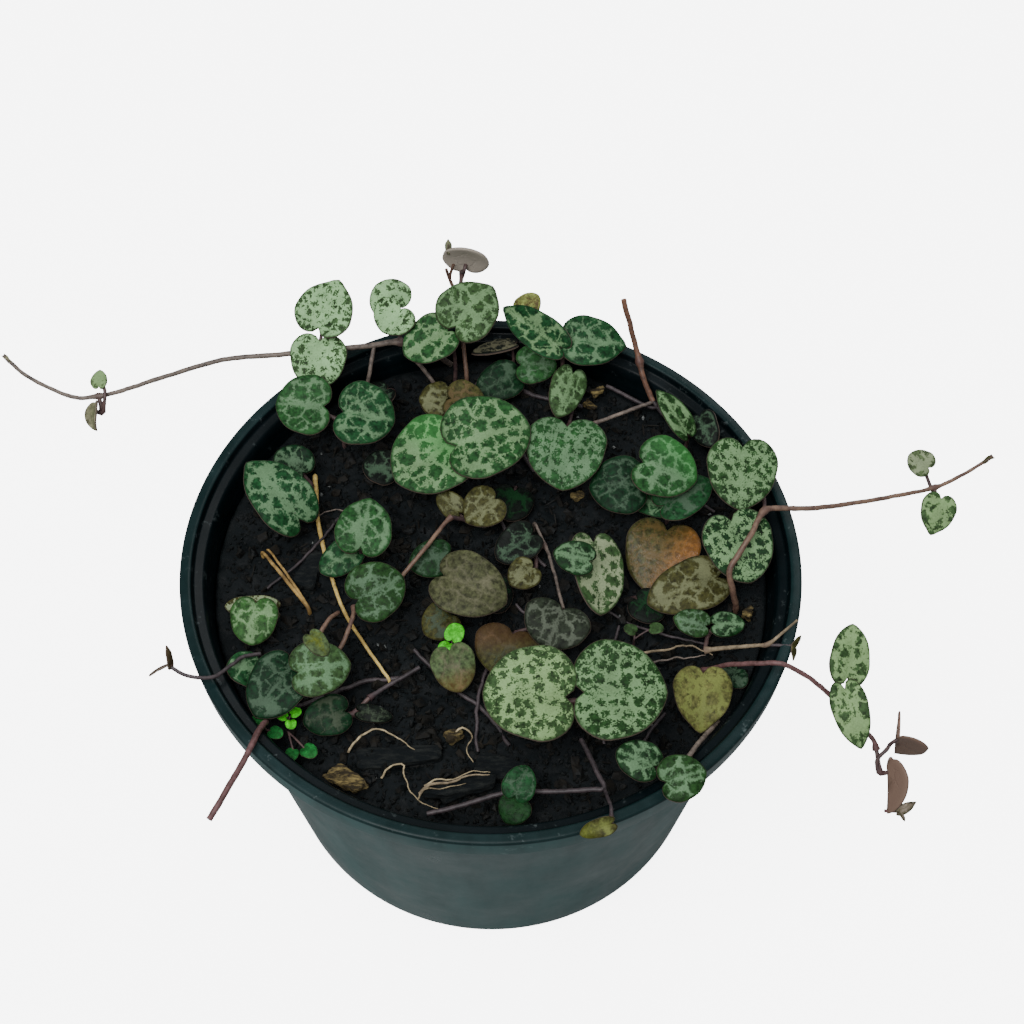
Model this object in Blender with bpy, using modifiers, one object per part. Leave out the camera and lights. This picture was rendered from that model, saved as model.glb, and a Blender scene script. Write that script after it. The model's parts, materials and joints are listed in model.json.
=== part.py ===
"""Potted string of hearts: a trailing plant with small heart-shaped leaves in a round nursery pot.

The pot is one thin moulded wall with a turned-down collar and drain holes.  Soil fills it to a
finger's width below the rim.  Vines rise out of the soil and cross the rim, and every vine node
carries an opposite pair of leaves on short stalks.  The origin is the middle of the pot's base.
Lengths in the tables are millimetres and angles are degrees.
"""
import math

import bmesh
import bpy
from mathutils import Matrix, Vector

for old in list(bpy.data.objects):
    bpy.data.objects.remove(old, do_unlink=True)

# ---------------------------------------------------------------- driving dimensions
MM = 0.001
SOIL_GAP = 0.5

POT_HEIGHT = 98.0
RIM_RADIUS = 76.0
BASE_RADIUS = 57.2
WALL_TOP_RADIUS = 71.2
WALL_TOP_Z = 94.4
WALL = 1.4
FLOOR = 1.8
COLLAR_DEPTH = 6.8
RIM_FACE = 2.3
POT_STEPS = 60
DRAIN_HOLES = 6
DRAIN_RADIUS = 4.0
DRAIN_CIRCLE = 44.0

SOIL_LEVEL = 88.0
SOIL_RISE = 2.0
SOIL_RIPPLE = 0.5
SOIL_RINGS = 7
SOIL_SIDES = 48

LEAF_EDGE = 1.0
LEAF_DOME = 0.7
STALK_RADIUS = 0.55
STALK_INSET = 1.5
STALK_DROP = 1.5
TUBE_STEP = 4.0

# Half of a heart leaf's outline, from the notch to the tip: the first number runs along the
# midrib in leaf lengths and the second across it in half widths.
HEART_HALF = [(0.0, 0.0), (-0.12, 0.32), (-0.06, 0.78), (0.18, 1.0), (0.48, 0.92), (0.78, 0.57), (1.0, 0.0)]

COLOURS = {
    "pot": ("3b4d4e", 0.45),
    "soil": ("1b1a19", 0.95),
    "vine": ("7d675c", 0.55),
    "dry": ("a08b68", 0.80),
    "straw": ("b49c6d", 0.80),
    "bark": ("5d4c38", 0.90),
    "silver": ("a3b393", 0.45),
    "mottled": ("6f9468", 0.45),
    "netted": ("4f7458", 0.45),
    "dark": ("33523a", 0.40),
    "olive": ("77744f", 0.50),
    "bronze": ("7b5c3d", 0.45),
    "withered": ("c9a73f", 0.60),
}

# ---------------------------------------------------------------- vines
# Each vine is (colour, radius, routes).  The first route is the main stem and the others are side
# shoots, whose first point lies inside it.
VINES = {
    "vine_runner_left": ("vine", 0.70, [
        [(-10, 65.5, 91.5), (-13, 65.5, 95), (-17, 66.5, 99), (-23.5, 66, 101), (-38, 63, 102), (-53.5, 62, 101),
         (-69.5, 61.5, 99.5), (-84.5, 60, 95), (-100, 58, 90), (-109, 57.5, 89), (-115.5, 59.5, 90),
         (-122.5, 62, 93), (-128.5, 66, 97)],
        [(-23.5, 66, 101), (-18.5, 62.5, 96), (-14.5, 59, 91.5)],
        [(-30, 64.7, 101.5), (-31.5, 59.5, 96), (-32.5, 57.5, 91.5)],
    ]),
    "vine_shoot_back": ("vine", 0.65, [
        [(-6, 61, 91), (-7, 68, 98), (-8, 75, 105), (-8.5, 78, 109.5)],
        [(-8, 75.5, 105.5), (-11.5, 79, 109.3), (-11, 80.5, 110.5)],
    ]),
    "vine_runner_right": ("vine", 0.65, [
        [(60, -10, 90.5), (58.5, -9, 97), (57.5, -6.5, 101.5), (60, -3, 104), (63, 1, 106), (67, 8, 106),
         (75.5, 9, 105), (83.5, 11, 103), (96, 15, 100), (108.5, 19, 98), (113, 20.5, 98), (119.5, 23.5, 99),
         (127, 27.5, 101)],
    ]),
    "vine_runner_low": ("vine", 0.65, [
        [(50, -28, 90), (56, -29.5, 96), (62, -32, 101), (68, -33.5, 103), (72.5, -34.5, 100.5), (76.5, -35.5, 97),
         (80, -36.5, 93), (84.5, -39.5, 89.5), (90, -45, 87), (91, -47, 85)],
    ]),
    "vine_stub_back_right": ("vine", 0.80, [
        [(46, 48, 91), (42, 52.5, 94.5), (40, 56, 98.5), (38, 62, 104), (34.5, 67.5, 116)],
        [(43, 51.3, 93.5), (35, 48.5, 92.5), (26.5, 45, 92)],
        [(45.3, 48.8, 91.5), (38, 53, 92), (30.5, 58, 92)],
    ]),
    "vine_stub_front_left": ("vine", 0.80, [
        [(-53, -41.5, 92), (-53, -44.5, 96.8), (-54, -48.5, 99.4), (-56.5, -56.5, 101), (-60, -64, 101),
         (-63.5, -70.5, 100)],
    ]),
    "vine_tendril_left": ("vine", 0.60, [
        [(-54.5, -25.5, 96.5), (-59, -27, 97.5), (-61, -29.5, 98.5), (-64.5, -33.5, 100), (-68.5, -34.5, 101),
         (-72, -34, 102), (-75, -32.5, 103), (-79.5, -34.5, 102)],
        [(-74.5, -32.7, 102.9), (-75, -29, 105)],
    ]),
    "twig_dry_right": ("dry", 0.65, [
        [(51, -22.5, 91), (63.5, -24.5, 96.5), (65.5, -25, 97.5), (73, -20, 101)],
    ]),
    "vine_middle": ("vine", 0.60, [
        [(-9.5, 13.5, 96.3), (-11, 12, 96.3), (-16, 4, 97), (-22.5, -3.5, 94)],
    ]),
    "vine_front": ("vine", 0.65, [
        [(-15.5, -64.5, 90), (-7.5, -63, 91), (4, -60.3, 92.3), (15.5, -61, 93.7), (25.5, -60.8, 94.8), (29, -60, 94.8)],
        [(20.5, -47, 93), (22.5, -52.5, 94), (25.5, -60.8, 94.9), (26, -64.5, 97.3), (26.5, -68, 99.6),
         (26.3, -71.5, 100)],
    ]),
    "vine_front_right": ("vine", 0.65, [
        [(53.5, -40.5, 88.6), (51, -44.5, 91.5), (48.5, -48.5, 94.5), (45.5, -53.5, 97.5), (42, -59.5, 99.3)],
    ]),
    "vine_front_left": ("vine", 0.60, [
        [(-29.5, -35, 91), (-25.5, -32, 91), (-17, -27, 92)],
    ]),
    "vine_fork_left": ("vine", 0.60, [
        [(-40, -26, 90), (-41.5, -21, 95), (-39.5, -16.5, 96), (-37, -12, 93)],
        [(-40, -26, 90.1), (-37, -23.5, 93), (-34, -17, 95), (-33.2, -11, 94)],
    ]),
    "vine_thin_middle": ("vine", 0.45, [
        [(11, 15, 91), (14, 6, 92), (15.5, -2, 94), (17.5, -12.5, 94)],
    ]),
}

# ---------------------------------------------------------------- leaves
# Each leaf is (x, y, z, heading, pitch, roll, length, width): the place of its notch, the way its
# midrib points, and its size.  A pair's stalk runs from the first leaf by the middle points, where
# it meets the vine, to the second leaf.  A single leaf's stalk ends at its last point.
LEAVES = {
    # the silver and mottled leaves that stand above the back rim
    "leaves_silver_back_left": ("silver", [(-44, 64, 104)], [
        (-44, 65.5, 107.5, 65, 25, 0, 13, 16), (-44, 62.5, 105, -95, -25, -5, 13, 15)]),
    "leaves_silver_small_back": ("silver", [(-23.5, 70.5, 103.3)], [
        (-24, 73.5, 106, 140, 25, -20, 8.5, 12), (-23, 70, 109, -130, -20, -10, 8, 12)]),
    "leaves_mottled_back": ("mottled", [(-9.5, 63.5, 104)], [
        (-8.5, 64.5, 109, 45, 20, 10, 14, 17), (-11, 64.5, 106.5, -155, -15, -15, 13, 13.5)]),
    "leaves_folded_back_right": ("netted", [(19, 59, 103.5)], [
        (18, 59, 107, 140, 5, -30, 18, 11.5), (21, 61, 107, -5, -5, 20, 14, 14)]),
    "leaf_shoot_back": ("olive", [(-7, 81, 111.3)], [
        (-6, 80.3, 113.5, -100, 78, 0, 10.5, 12.5)]),
    # the back half of the pot
    "leaves_netted_left": ("netted", [(-39, 42, 99)], [
        (-42.5, 43, 103, 175, 0, -20, 12.5, 16.5), (-37, 42, 102, -10, -5, 15, 13.5, 18)]),
    "leaves_netted_outer_left": ("netted", [(-46, 18, 92.5), (-46, 27, 91.5)], [
        (-48, 14, 96, 135, 20, -5, 19, 15.5), (-48, 30, 92.5, 140, 15, -15, 9, 11)]),
    "leaves_olive_back": ("olive", [(-10, 49, 94)], [
        (-11.5, 50, 96, 175, 0, -20, 7, 10), (-10, 49, 98, -15, -5, 20, 9.5, 11.5)]),
    "leaves_dark_back": ("dark", [(7.5, 59, 92.5)], [
        (8.5, 60, 98, 0, 0, 20, 9.5, 11), (6.5, 59, 95, -155, -10, -20, 11.5, 11)]),
    "leaves_mottled_middle": ("mottled", [(-8, 32, 97.5)], [
        (-9.5, 33, 100.5, -145, -10, -10, 18, 22), (-8, 30, 104, 15, 5, 15, 19.5, 22.5)]),
    "leaves_mottled_right": ("mottled", [(20, 38, 97), (20.5, 44, 92.5), (22, 52, 93.5)], [
        (19.5, 36, 102.5, -95, -15, 0, 17, 21), (21.5, 56, 99, -110, -15, -15, 13, 9.5)]),
    "leaves_folded_right": ("netted", [(51, 39, 95.5)], [
        (50, 37, 99, 125, 20, -15, 13, 8.5), (54, 41, 100, -75, 0, 30, 10, 8)]),
    # the middle and the right
    "leaves_vivid_right": ("mottled", [(38.5, 22.5, 95.8)], [
        (37, 21.5, 98, 180, -5, -20, 12.5, 15.5), (38.5, 24, 104, -20, -5, 15, 14, 16.5)]),
    "leaves_silver_right": ("silver", [(68, 17, 99.5), (71, 11.5, 102), (66, 8, 99.5)], [
        (63, 27, 105, -95, -15, 0, 16.5, 18), (59, 7, 102, -75, -15, 5, 16.5, 17.5)]),
    "leaves_dark_right": ("dark", [(45, 17, 91.5)], [
        (44.5, 18, 93, 165, 0, -20, 10, 7), (43.5, 15.5, 97.5, 25, 10, 10, 13.5, 12)]),
    "leaf_bronze_right": ("bronze", [(45, 9, 90.3)], [(44, 10.5, 93.5, -105, -15, 0, 17.5, 19)]),
    "leaf_olive_right": ("olive", [(56, -4, 90)], [(55, -4, 94, -160, -5, -15, 18.5, 14)]),
    "leaves_dark_small_right": ("dark", [(52.7, -17, 90)], [
        (51.5, -17, 93, 165, 5, -20, 8, 7), (54, -17, 93.5, 0, 0, 20, 7.5, 6.5)]),
    "leaf_yellow_olive_right": ("olive", [(51, -31, 89.3)], [(50, -31.5, 94.5, -95, -15, 0, 13, 14.5)]),
    "leaves_grey_middle_right": ("netted", [(25, -1, 93)], [
        (23.5, -4.5, 103, 165, 5, -25, 9, 8.5), (25, 4, 97, -85, -10, -20, 19, 14.5)]),
    "leaves_yellowed_middle": ("olive", [(11, 0, 91.5), (11, 7, 90.8)], [
        (10, -2, 96, -145, -10, -15, 7, 8.5), (10, 9, 94, -145, -10, -15, 11, 10.5)]),
    "leaves_olive_middle": ("olive", [(-5.5, 14.5, 93)], [
        (1, 17, 98, -145, -15, -10, 9, 11.5), (-8, 16, 94.5, 135, 10, -20, 7.5, 6.5)]),
    "leaf_dark_middle": ("dark", [(-12, 5, 90)], [(-11, 4, 93, -165, -5, -20, 10, 10)]),
    "leaf_plain_middle": ("olive", [(-10, -5, 92)], [(-11, -6, 99, -25, -5, 15, 16.5, 16.5)]),
    "leaves_bronze_middle": ("bronze", [(6, -17, 90.5), (14, -14.5, 91.5)], [
        (5, -19, 93, -110, -20, -5, 11, 17), (17, -14.5, 96.5, -115, -15, -5, 10.5, 17)]),
    "leaves_bronze_small": ("bronze", [(-9, -17, 90.5), (-9, -22, 90.5)], [
        (-10, -14, 94, -145, -10, -15, 8, 10), (-10, -24, 94, -75, -20, 5, 10.5, 11)]),
    # the left
    "leaves_netted_middle_left": ("netted", [(-33, 4, 91)], [
        (-32, 4, 97, 80, 15, 5, 13, 14.5), (-34, 6, 93, -145, -10, -15, 10.5, 9)]),
    "leaf_netted_fork_left": ("netted", [(-30.7, -9.5, 93.5)], [(-32, -11, 97, 25, 10, 20, 12.5, 15)]),
    "leaves_olive_left": ("olive", [(-55.5, -9.5, 90)], [
        (-57, -11, 95, -95, -20, 0, 10.5, 12), (-53.5, -10, 91, 175, 0, -15, 12, 6.5)]),
    "leaf_netted_rim_left": ("netted", [(-57, -29, 90)], [(-56.5, -28.5, 93.5, 180, 20, -10, 7, 9)]),
    "leaves_netted_front_left": ("netted", [(-46, -31.5, 94.5)], [
        (-47.5, -30, 97.5, -125, -15, -10, 14.5, 14.5), (-45, -33, 100.5, 10, 0, 20, 12.5, 13.5)]),
    "leaves_dark_front_left": ("dark", [(-33, -38.5, 89.8)], [
        (-35, -39, 92, -165, -5, -20, 10, 10), (-31, -39, 92, -10, -5, 20, 8, 4.5)]),
    # the front
    "leaves_silver_front": ("silver", [(19, -40, 98)], [
        (16, -41, 102, 175, 0, -10, 19, 24), (22, -40, 102, 0, 0, 10, 19, 25)]),
    "leaves_dark_front": ("dark", [(5.5, -63.3, 91.8)], [
        (5, -62.5, 95, 65, 20, 10, 7.5, 8), (6, -63.5, 94, -125, -20, -5, 6, 8)]),
    "leaves_netted_front_right": ("netted", [(38.7, -59, 98.8), (37, -56.5, 96)], [
        (39, -63, 102, 15, 5, 15, 9.5, 11), (36.5, -57.3, 98.5, 155, 5, -15, 9.5, 9.5)]),
    "leaf_withered_front": ("withered", [(26.2, -73.8, 100.2)], [(26, -73, 102, -165, -10, -30, 7.5, 4.5)]),
    # the runners outside the pot
    "leaves_runner_left": ("silver", [(-101.5, 58, 92), (-101.5, 55.5, 90.5)], [
        (-103, 58.5, 92.5, 85, 25, 0, 4.5, 4.5), (-103.5, 55, 88.5, -90, -20, 45, 7, 6)]),
    "leaves_runner_right": ("mottled", [(111, 22, 96), (112, 19, 95.5)], [
        (110, 24.3, 100.5, 145, 10, -30, 6, 7), (112.8, 16.8, 97.2, -110, -25, -5, 9, 9)]),
    "leaves_runner_low_first": ("mottled", [(81.5, -33.3, 94.3)], [
        (84, -32.5, 95, 80, 20, 10, 13, 10), (83, -36.5, 95.8, -75, -25, 15, 14, 9)]),
    "leaves_runner_low_last": ("olive", [(93, -47.5, 86.8), (90.7, -49.3, 84.8)], [
        (95.5, -44.5, 86.5, 40, -80, 10, 11, 15), (93, -50, 83, -90, -35, -100, 11.5, 11)]),
}

# ---------------------------------------------------------------- litter on the soil
STRAWS = {
    "straw_long": (0.75, [[(-45, 31, 90.3), (-43.5, 16, 90), (-40, 2, 89.6), (-35.5, -11, 89.3), (-24.5, -29, 88.8)]]),
    "straw_short": (1.0, [[(-56.5, 8, 90.2), (-44.5, -9.5, 89.9)], [(-49, -3, 90.2), (-43.5, 1, 91.5)]]),
}
CHIPS = {
    "bark_chip_tan": (2.0, 89.2, [(-40, -55), (-35, -52), (-28.5, -57), (-32, -59)]),
    "bark_chip_dark": (2.4, 87.6, [(-17, -59), (-14, -56), (-7, -55), (1, -54.5), (0, -57.5), (-11, -60)]),
}

model = bpy.data.collections.new("potted_string_of_hearts")
cutters = bpy.data.collections.new("cutters")
for collection in (model, cutters):
    bpy.context.scene.collection.children.link(collection)


# ---------------------------------------------------------------- helpers
def colour_material(name, colour):
    """A Principled material of this node's own in one of the plant's colours."""
    code, roughness = COLOURS[colour]
    channels = [int(code[i:i + 2], 16) / 255 for i in (0, 2, 4)]
    linear = [c / 12.92 if c <= 0.04045 else ((c + 0.055) / 1.055) ** 2.4 for c in channels]
    material = bpy.data.materials.new(name)
    material.use_nodes = True
    shader = material.node_tree.nodes["Principled BSDF"]
    shader.inputs["Base Color"].default_value = (*linear, 1.0)
    shader.inputs["Roughness"].default_value = roughness
    shader.inputs["Metallic"].default_value = 0.0
    return material


def add_object(name, data, collection=model):
    obj = bpy.data.objects.new(name, data)
    collection.objects.link(obj)
    return obj


def finish(obj, colour, smooth_angle=None):
    """Give a piece its material, and smooth shading where it is round."""
    obj.data.materials.clear()
    obj.data.materials.append(colour_material(obj.name, colour))
    if smooth_angle is not None:
        obj.data.shade_smooth()
        obj.data.set_sharp_from_angle(angle=math.radians(smooth_angle))


def smooth_route(points):
    """Points about TUBE_STEP apart on the Catmull-Rom curve through a hand-set route."""
    knots = [Vector(p) for p in points]
    knots = [2 * knots[0] - knots[1]] + knots + [2 * knots[-1] - knots[-2]]
    route = []
    for before, start, end, after in zip(knots, knots[1:], knots[2:], knots[3:]):
        count = max(1, round((end - start).length / TUBE_STEP))
        for step in range(count):
            t = step / count
            route.append(0.5 * (2 * start + (end - before) * t
                                + (2 * before - 5 * start + 4 * end - after) * t ** 2
                                + (3 * start - before - 3 * end + after) * t ** 3))
    return route + [knots[-2]]


def tube(name, route, radius, bevel_resolution=2):
    """A closed round tube along a route, as a mesh object."""
    curve = bpy.data.curves.new(name, "CURVE")
    curve.dimensions = "3D"
    curve.bevel_depth = radius * MM
    curve.bevel_resolution = bevel_resolution
    curve.use_fill_caps = True
    spline = curve.splines.new("POLY")
    spline.points.add(len(route) - 1)
    for point, place in zip(spline.points, route):
        point.co = (*(Vector(place) * MM), 1.0)
    curve_object = add_object(name + "_curve", curve, cutters)
    bpy.context.view_layer.update()
    evaluated = curve_object.evaluated_get(bpy.context.evaluated_depsgraph_get())
    mesh = bpy.data.meshes.new_from_object(evaluated)
    bpy.data.objects.remove(curve_object)
    shell = bmesh.new()
    shell.from_mesh(mesh)
    bmesh.ops.remove_doubles(shell, verts=shell.verts, dist=1e-6)
    shell.to_mesh(mesh)
    shell.free()
    return add_object(name, mesh)


def union(obj, others):
    """Join closed pieces that run into each other into one closed body."""
    for other in others:
        modifier = obj.modifiers.new("join", "BOOLEAN")
        modifier.operation = "UNION"
        modifier.solver = "EXACT"
        modifier.object = other
    bpy.context.view_layer.update()
    evaluated = obj.evaluated_get(bpy.context.evaluated_depsgraph_get())
    joined = bpy.data.meshes.new_from_object(evaluated)
    obj.modifiers.clear()
    obj.data = joined
    for other in others:
        bpy.data.objects.remove(other, do_unlink=True)


def plate(name, outline, thickness, dome=0.0):
    """A flat outline given a thickness, its upper face raised to a peak if it has a dome."""
    shell = bmesh.new()
    base = shell.faces.new([shell.verts.new(Vector((x, y, 0.0)) * MM) for x, y in outline])
    upper = bmesh.ops.extrude_face_region(shell, geom=[base])["geom"]
    bmesh.ops.translate(shell, vec=(0, 0, thickness * MM),
                        verts=[part for part in upper if isinstance(part, bmesh.types.BMVert)])
    if dome:
        top = [part for part in upper if isinstance(part, bmesh.types.BMFace)]
        bmesh.ops.poke(shell, faces=top, offset=dome * MM)
    bmesh.ops.recalc_face_normals(shell, faces=shell.faces)
    mesh = bpy.data.meshes.new(name)
    shell.to_mesh(mesh)
    shell.free()
    return add_object(name, mesh)


# ---------------------------------------------------------------- pot and soil
def inner_radius(z):
    """Radius of the pot's inner wall at a height."""
    slope = (WALL_TOP_RADIUS - BASE_RADIUS) / (WALL_TOP_Z - 2 * FLOOR)
    return BASE_RADIUS - WALL + slope * (z - 2 * FLOOR)


def soil_height(x, y):
    """The soil is heaped a little toward the back and ripples all over."""
    return SOIL_LEVEL + SOIL_RISE * y / 68.0 + SOIL_RIPPLE * math.sin(x / 7.0) * math.cos(y / 9.0)


def build_pot():
    collar_foot = POT_HEIGHT - COLLAR_DEPTH
    lip = RIM_RADIUS - 0.5
    throat = lip - RIM_FACE
    profile = [
        (0.0, FLOOR), (BASE_RADIUS - WALL - 1.2, FLOOR), (inner_radius(FLOOR + 1.2), FLOOR + 1.2),
        (inner_radius(WALL_TOP_Z), WALL_TOP_Z), (WALL_TOP_RADIUS - 0.8, WALL_TOP_Z + 1.2),
        (throat - 0.6, WALL_TOP_Z + 1.8), (throat - 0.2, POT_HEIGHT - 0.5), (throat + 0.3, POT_HEIGHT),
        (lip, POT_HEIGHT), (RIM_RADIUS, POT_HEIGHT - 0.6), (RIM_RADIUS - 0.6, collar_foot),
        (RIM_RADIUS - 1.8, collar_foot), (RIM_RADIUS - 1.5, WALL_TOP_Z + 1.2), (WALL_TOP_RADIUS, WALL_TOP_Z),
        (BASE_RADIUS, FLOOR + 0.8), (BASE_RADIUS - 0.5, 0.8), (BASE_RADIUS - 1.8, 0.0), (0.0, 0.0),
    ]
    mesh = bpy.data.meshes.new("pot")
    mesh.from_pydata([(r * MM, 0.0, z * MM) for r, z in profile], [(i, i + 1) for i in range(len(profile) - 1)], [])
    pot = add_object("pot", mesh)
    turn = pot.modifiers.new("turn", "SCREW")
    turn.axis = "Z"
    turn.steps = turn.render_steps = POT_STEPS
    turn.use_merge_vertices = True
    turn.merge_threshold = 1e-5
    turn.use_smooth_shade = True

    drill = bmesh.new()
    for hole in range(DRAIN_HOLES):
        angle = 2 * math.pi * hole / DRAIN_HOLES
        place = Vector((math.cos(angle), math.sin(angle), 0.0)) * DRAIN_CIRCLE * MM
        bmesh.ops.create_cone(drill, cap_ends=True, segments=16, radius1=DRAIN_RADIUS * MM,
                              radius2=DRAIN_RADIUS * MM, depth=4 * FLOOR * MM, matrix=Matrix.Translation(place))
    drill_mesh = bpy.data.meshes.new("drain_holes")
    drill.to_mesh(drill_mesh)
    drill.free()
    drill_object = add_object("drain_holes", drill_mesh, cutters)
    drill_object.hide_render = True
    drill_object.display_type = "WIRE"
    cut = pot.modifiers.new("drain", "BOOLEAN")
    cut.operation = "DIFFERENCE"
    cut.solver = "EXACT"
    cut.object = drill_object
    finish(pot, "pot")


def build_soil():
    """A plug that fits the pot's inside, its top face inset into rings and then heaped."""
    bottom = FLOOR + SOIL_GAP
    radius_top = inner_radius(SOIL_LEVEL) - SOIL_GAP
    plug = bmesh.new()
    bmesh.ops.create_cone(plug, cap_ends=True, segments=SOIL_SIDES, radius1=(inner_radius(bottom) - 2.0) * MM,
                          radius2=radius_top * MM, depth=(SOIL_LEVEL - bottom) * MM,
                          matrix=Matrix.Translation((0, 0, (SOIL_LEVEL + bottom) / 2 * MM)))
    plug.faces.ensure_lookup_table()
    top = max(plug.faces, key=lambda face: face.calc_center_median().z)
    for _ in range(SOIL_RINGS):
        bmesh.ops.inset_individual(plug, faces=[top], thickness=radius_top / (SOIL_RINGS + 1) * MM)
    bmesh.ops.poke(plug, faces=[top])
    for vert in plug.verts:
        if vert.co.z < SOIL_LEVEL * MM - 1e-6:
            continue
        x, y = vert.co.x / MM, vert.co.y / MM
        z = soil_height(x, y)
        reach = min(1.0, (inner_radius(z) - SOIL_GAP) / max(math.hypot(x, y), 1.0))
        vert.co = Vector((x * reach, y * reach, z)) * MM
    mesh = bpy.data.meshes.new("soil")
    plug.to_mesh(mesh)
    plug.free()
    finish(add_object("soil", mesh), "soil", smooth_angle=50)


# ---------------------------------------------------------------- vines, leaves and litter
def build_branching(name, colour, radius, routes):
    """A stem with its side shoots, joined into one body."""
    main, *shoots = [tube(f"{name}_{number}", smooth_route(route), radius) for number, route in enumerate(routes)]
    if shoots:
        union(main, shoots)
    main.name = name
    finish(main, colour, smooth_angle=60)


def leaf_frame(leaf):
    """The notch's place, with X along the midrib and Z out of the upper face, in millimetres."""
    x, y, z, heading, pitch, roll = leaf[:6]
    return (Matrix.Translation((x, y, z)) @ Matrix.Rotation(math.radians(heading), 4, "Z")
            @ Matrix.Rotation(math.radians(-pitch), 4, "Y") @ Matrix.Rotation(math.radians(roll), 4, "X"))


def blade(name, leaf):
    """One heart-shaped blade: flat below, domed above."""
    length, width = leaf[6:]
    half = [(along * length, across * width / 2) for along, across in HEART_HALF]
    outline = [(x, -y) for x, y in half] + [(x, y) for x, y in reversed(half[1:-1])]
    obj = plate(name, outline, LEAF_EDGE, LEAF_DOME)
    frame = leaf_frame(leaf)
    frame.translation = frame.translation * MM
    obj.data.transform(frame)
    return obj


def stalk_end(leaf):
    """The two last points of a stalk, under the blade and inside it, a little in from the notch."""
    inset = min(STALK_INSET, leaf[6] / 4)
    frame = leaf_frame(leaf)
    return [frame @ Vector((inset, 0, -STALK_DROP)), frame @ Vector((inset, 0, LEAF_EDGE * 0.6))]


def build_leaves(name, colour, middle, leaves):
    """A pair of blades on one bent stalk, or a single blade on a stalk of its own."""
    blades = [blade(f"{name}_{number}", leaf) for number, leaf in enumerate(leaves)]
    route = list(reversed(stalk_end(leaves[0]))) + [Vector(point) for point in middle]
    if len(leaves) == 2:
        route += stalk_end(leaves[1])
    stalk = tube(name, route, STALK_RADIUS, bevel_resolution=1)
    union(stalk, blades)
    finish(stalk, colour)


def build_chip(name, thickness, z, outline):
    chip = plate(name, outline, thickness)
    chip.data.transform(Matrix.Translation((0, 0, z * MM)))
    finish(chip, "bark")


build_pot()
build_soil()
for vine_name, (vine_colour, vine_radius, vine_routes) in VINES.items():
    build_branching(vine_name, vine_colour, vine_radius, vine_routes)
for leaf_name, (leaf_colour, stalk_middle, leaf_list) in LEAVES.items():
    build_leaves(leaf_name, leaf_colour, stalk_middle, leaf_list)
for straw_name, (straw_radius, straw_routes) in STRAWS.items():
    build_branching(straw_name, "straw", straw_radius, straw_routes)
for chip_name, (chip_thickness, chip_z, chip_outline) in CHIPS.items():
    build_chip(chip_name, chip_thickness, chip_z, chip_outline)
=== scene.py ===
# %% [markdown]
# # Potted string of hearts
# A string of hearts is a trailing succulent.  Thin purple-brown vines wander over the soil and
# out over the rim, and at every joint of a vine sit two small fleshy heart-shaped leaves, dark
# green with a silver net.  The plant grows in a thin black-green moulded nursery pot.
#
# The CAD model gives the places and sizes, and this lesson dresses it.  It measures every leaf
# and vine in the CAD meshes, grows a finer one in the same place with Geometry Nodes, and gives
# each a procedural finish.  Lengths are millimetres until a mesh is finished, because a leaf is
# easier to think about in millimetres than in thousandths of a metre.

# %% Load the frame
import json
import math
import random

import bmesh
import bpy
from mathutils import Matrix, Vector, noise
from mathutils.bvhtree import BVHTree
from mathutils.geometry import convex_hull_2d


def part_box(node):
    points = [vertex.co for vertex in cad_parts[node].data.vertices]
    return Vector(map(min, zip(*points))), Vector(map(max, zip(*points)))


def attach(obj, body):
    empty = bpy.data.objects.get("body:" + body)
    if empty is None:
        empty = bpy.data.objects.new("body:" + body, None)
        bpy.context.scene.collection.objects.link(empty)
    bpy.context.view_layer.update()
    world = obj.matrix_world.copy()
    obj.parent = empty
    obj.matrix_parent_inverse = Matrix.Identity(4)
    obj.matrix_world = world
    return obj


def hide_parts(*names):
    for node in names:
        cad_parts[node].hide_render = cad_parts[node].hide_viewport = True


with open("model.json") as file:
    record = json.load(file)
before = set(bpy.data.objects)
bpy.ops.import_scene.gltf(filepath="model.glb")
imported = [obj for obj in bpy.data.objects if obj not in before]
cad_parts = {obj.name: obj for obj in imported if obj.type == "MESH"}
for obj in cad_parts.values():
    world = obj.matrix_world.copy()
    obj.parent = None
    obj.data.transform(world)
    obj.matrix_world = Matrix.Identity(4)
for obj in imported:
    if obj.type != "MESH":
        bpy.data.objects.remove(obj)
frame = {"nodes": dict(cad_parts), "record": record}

MM = 0.001
TO_METRES = Matrix.Scale(MM, 4)
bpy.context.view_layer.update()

# %% [markdown]
# ## Small helpers
# Colours are written as the hex codes a colour picker shows, which are sRGB, and Blender's
# sockets want linear light, so one function turns them.  Another adds one node to any tree, be
# it a material or Geometry Nodes, sets its properties and joins its sockets.

# %% Helpers for colours and nodes
def linear(code):
    """An sRGB hex code as linear red, green, blue and alpha."""
    channels = [int(code[i:i + 2], 16) / 255 for i in (0, 2, 4)]
    return (*[c / 12.92 if c <= 0.04045 else ((c + 0.055) / 1.055) ** 2.4 for c in channels], 1.0)


# The two kinds of arithmetic node, each to be followed by the name of its operation.
M, V = "ShaderNodeMath ", "ShaderNodeVectorMath "


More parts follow.
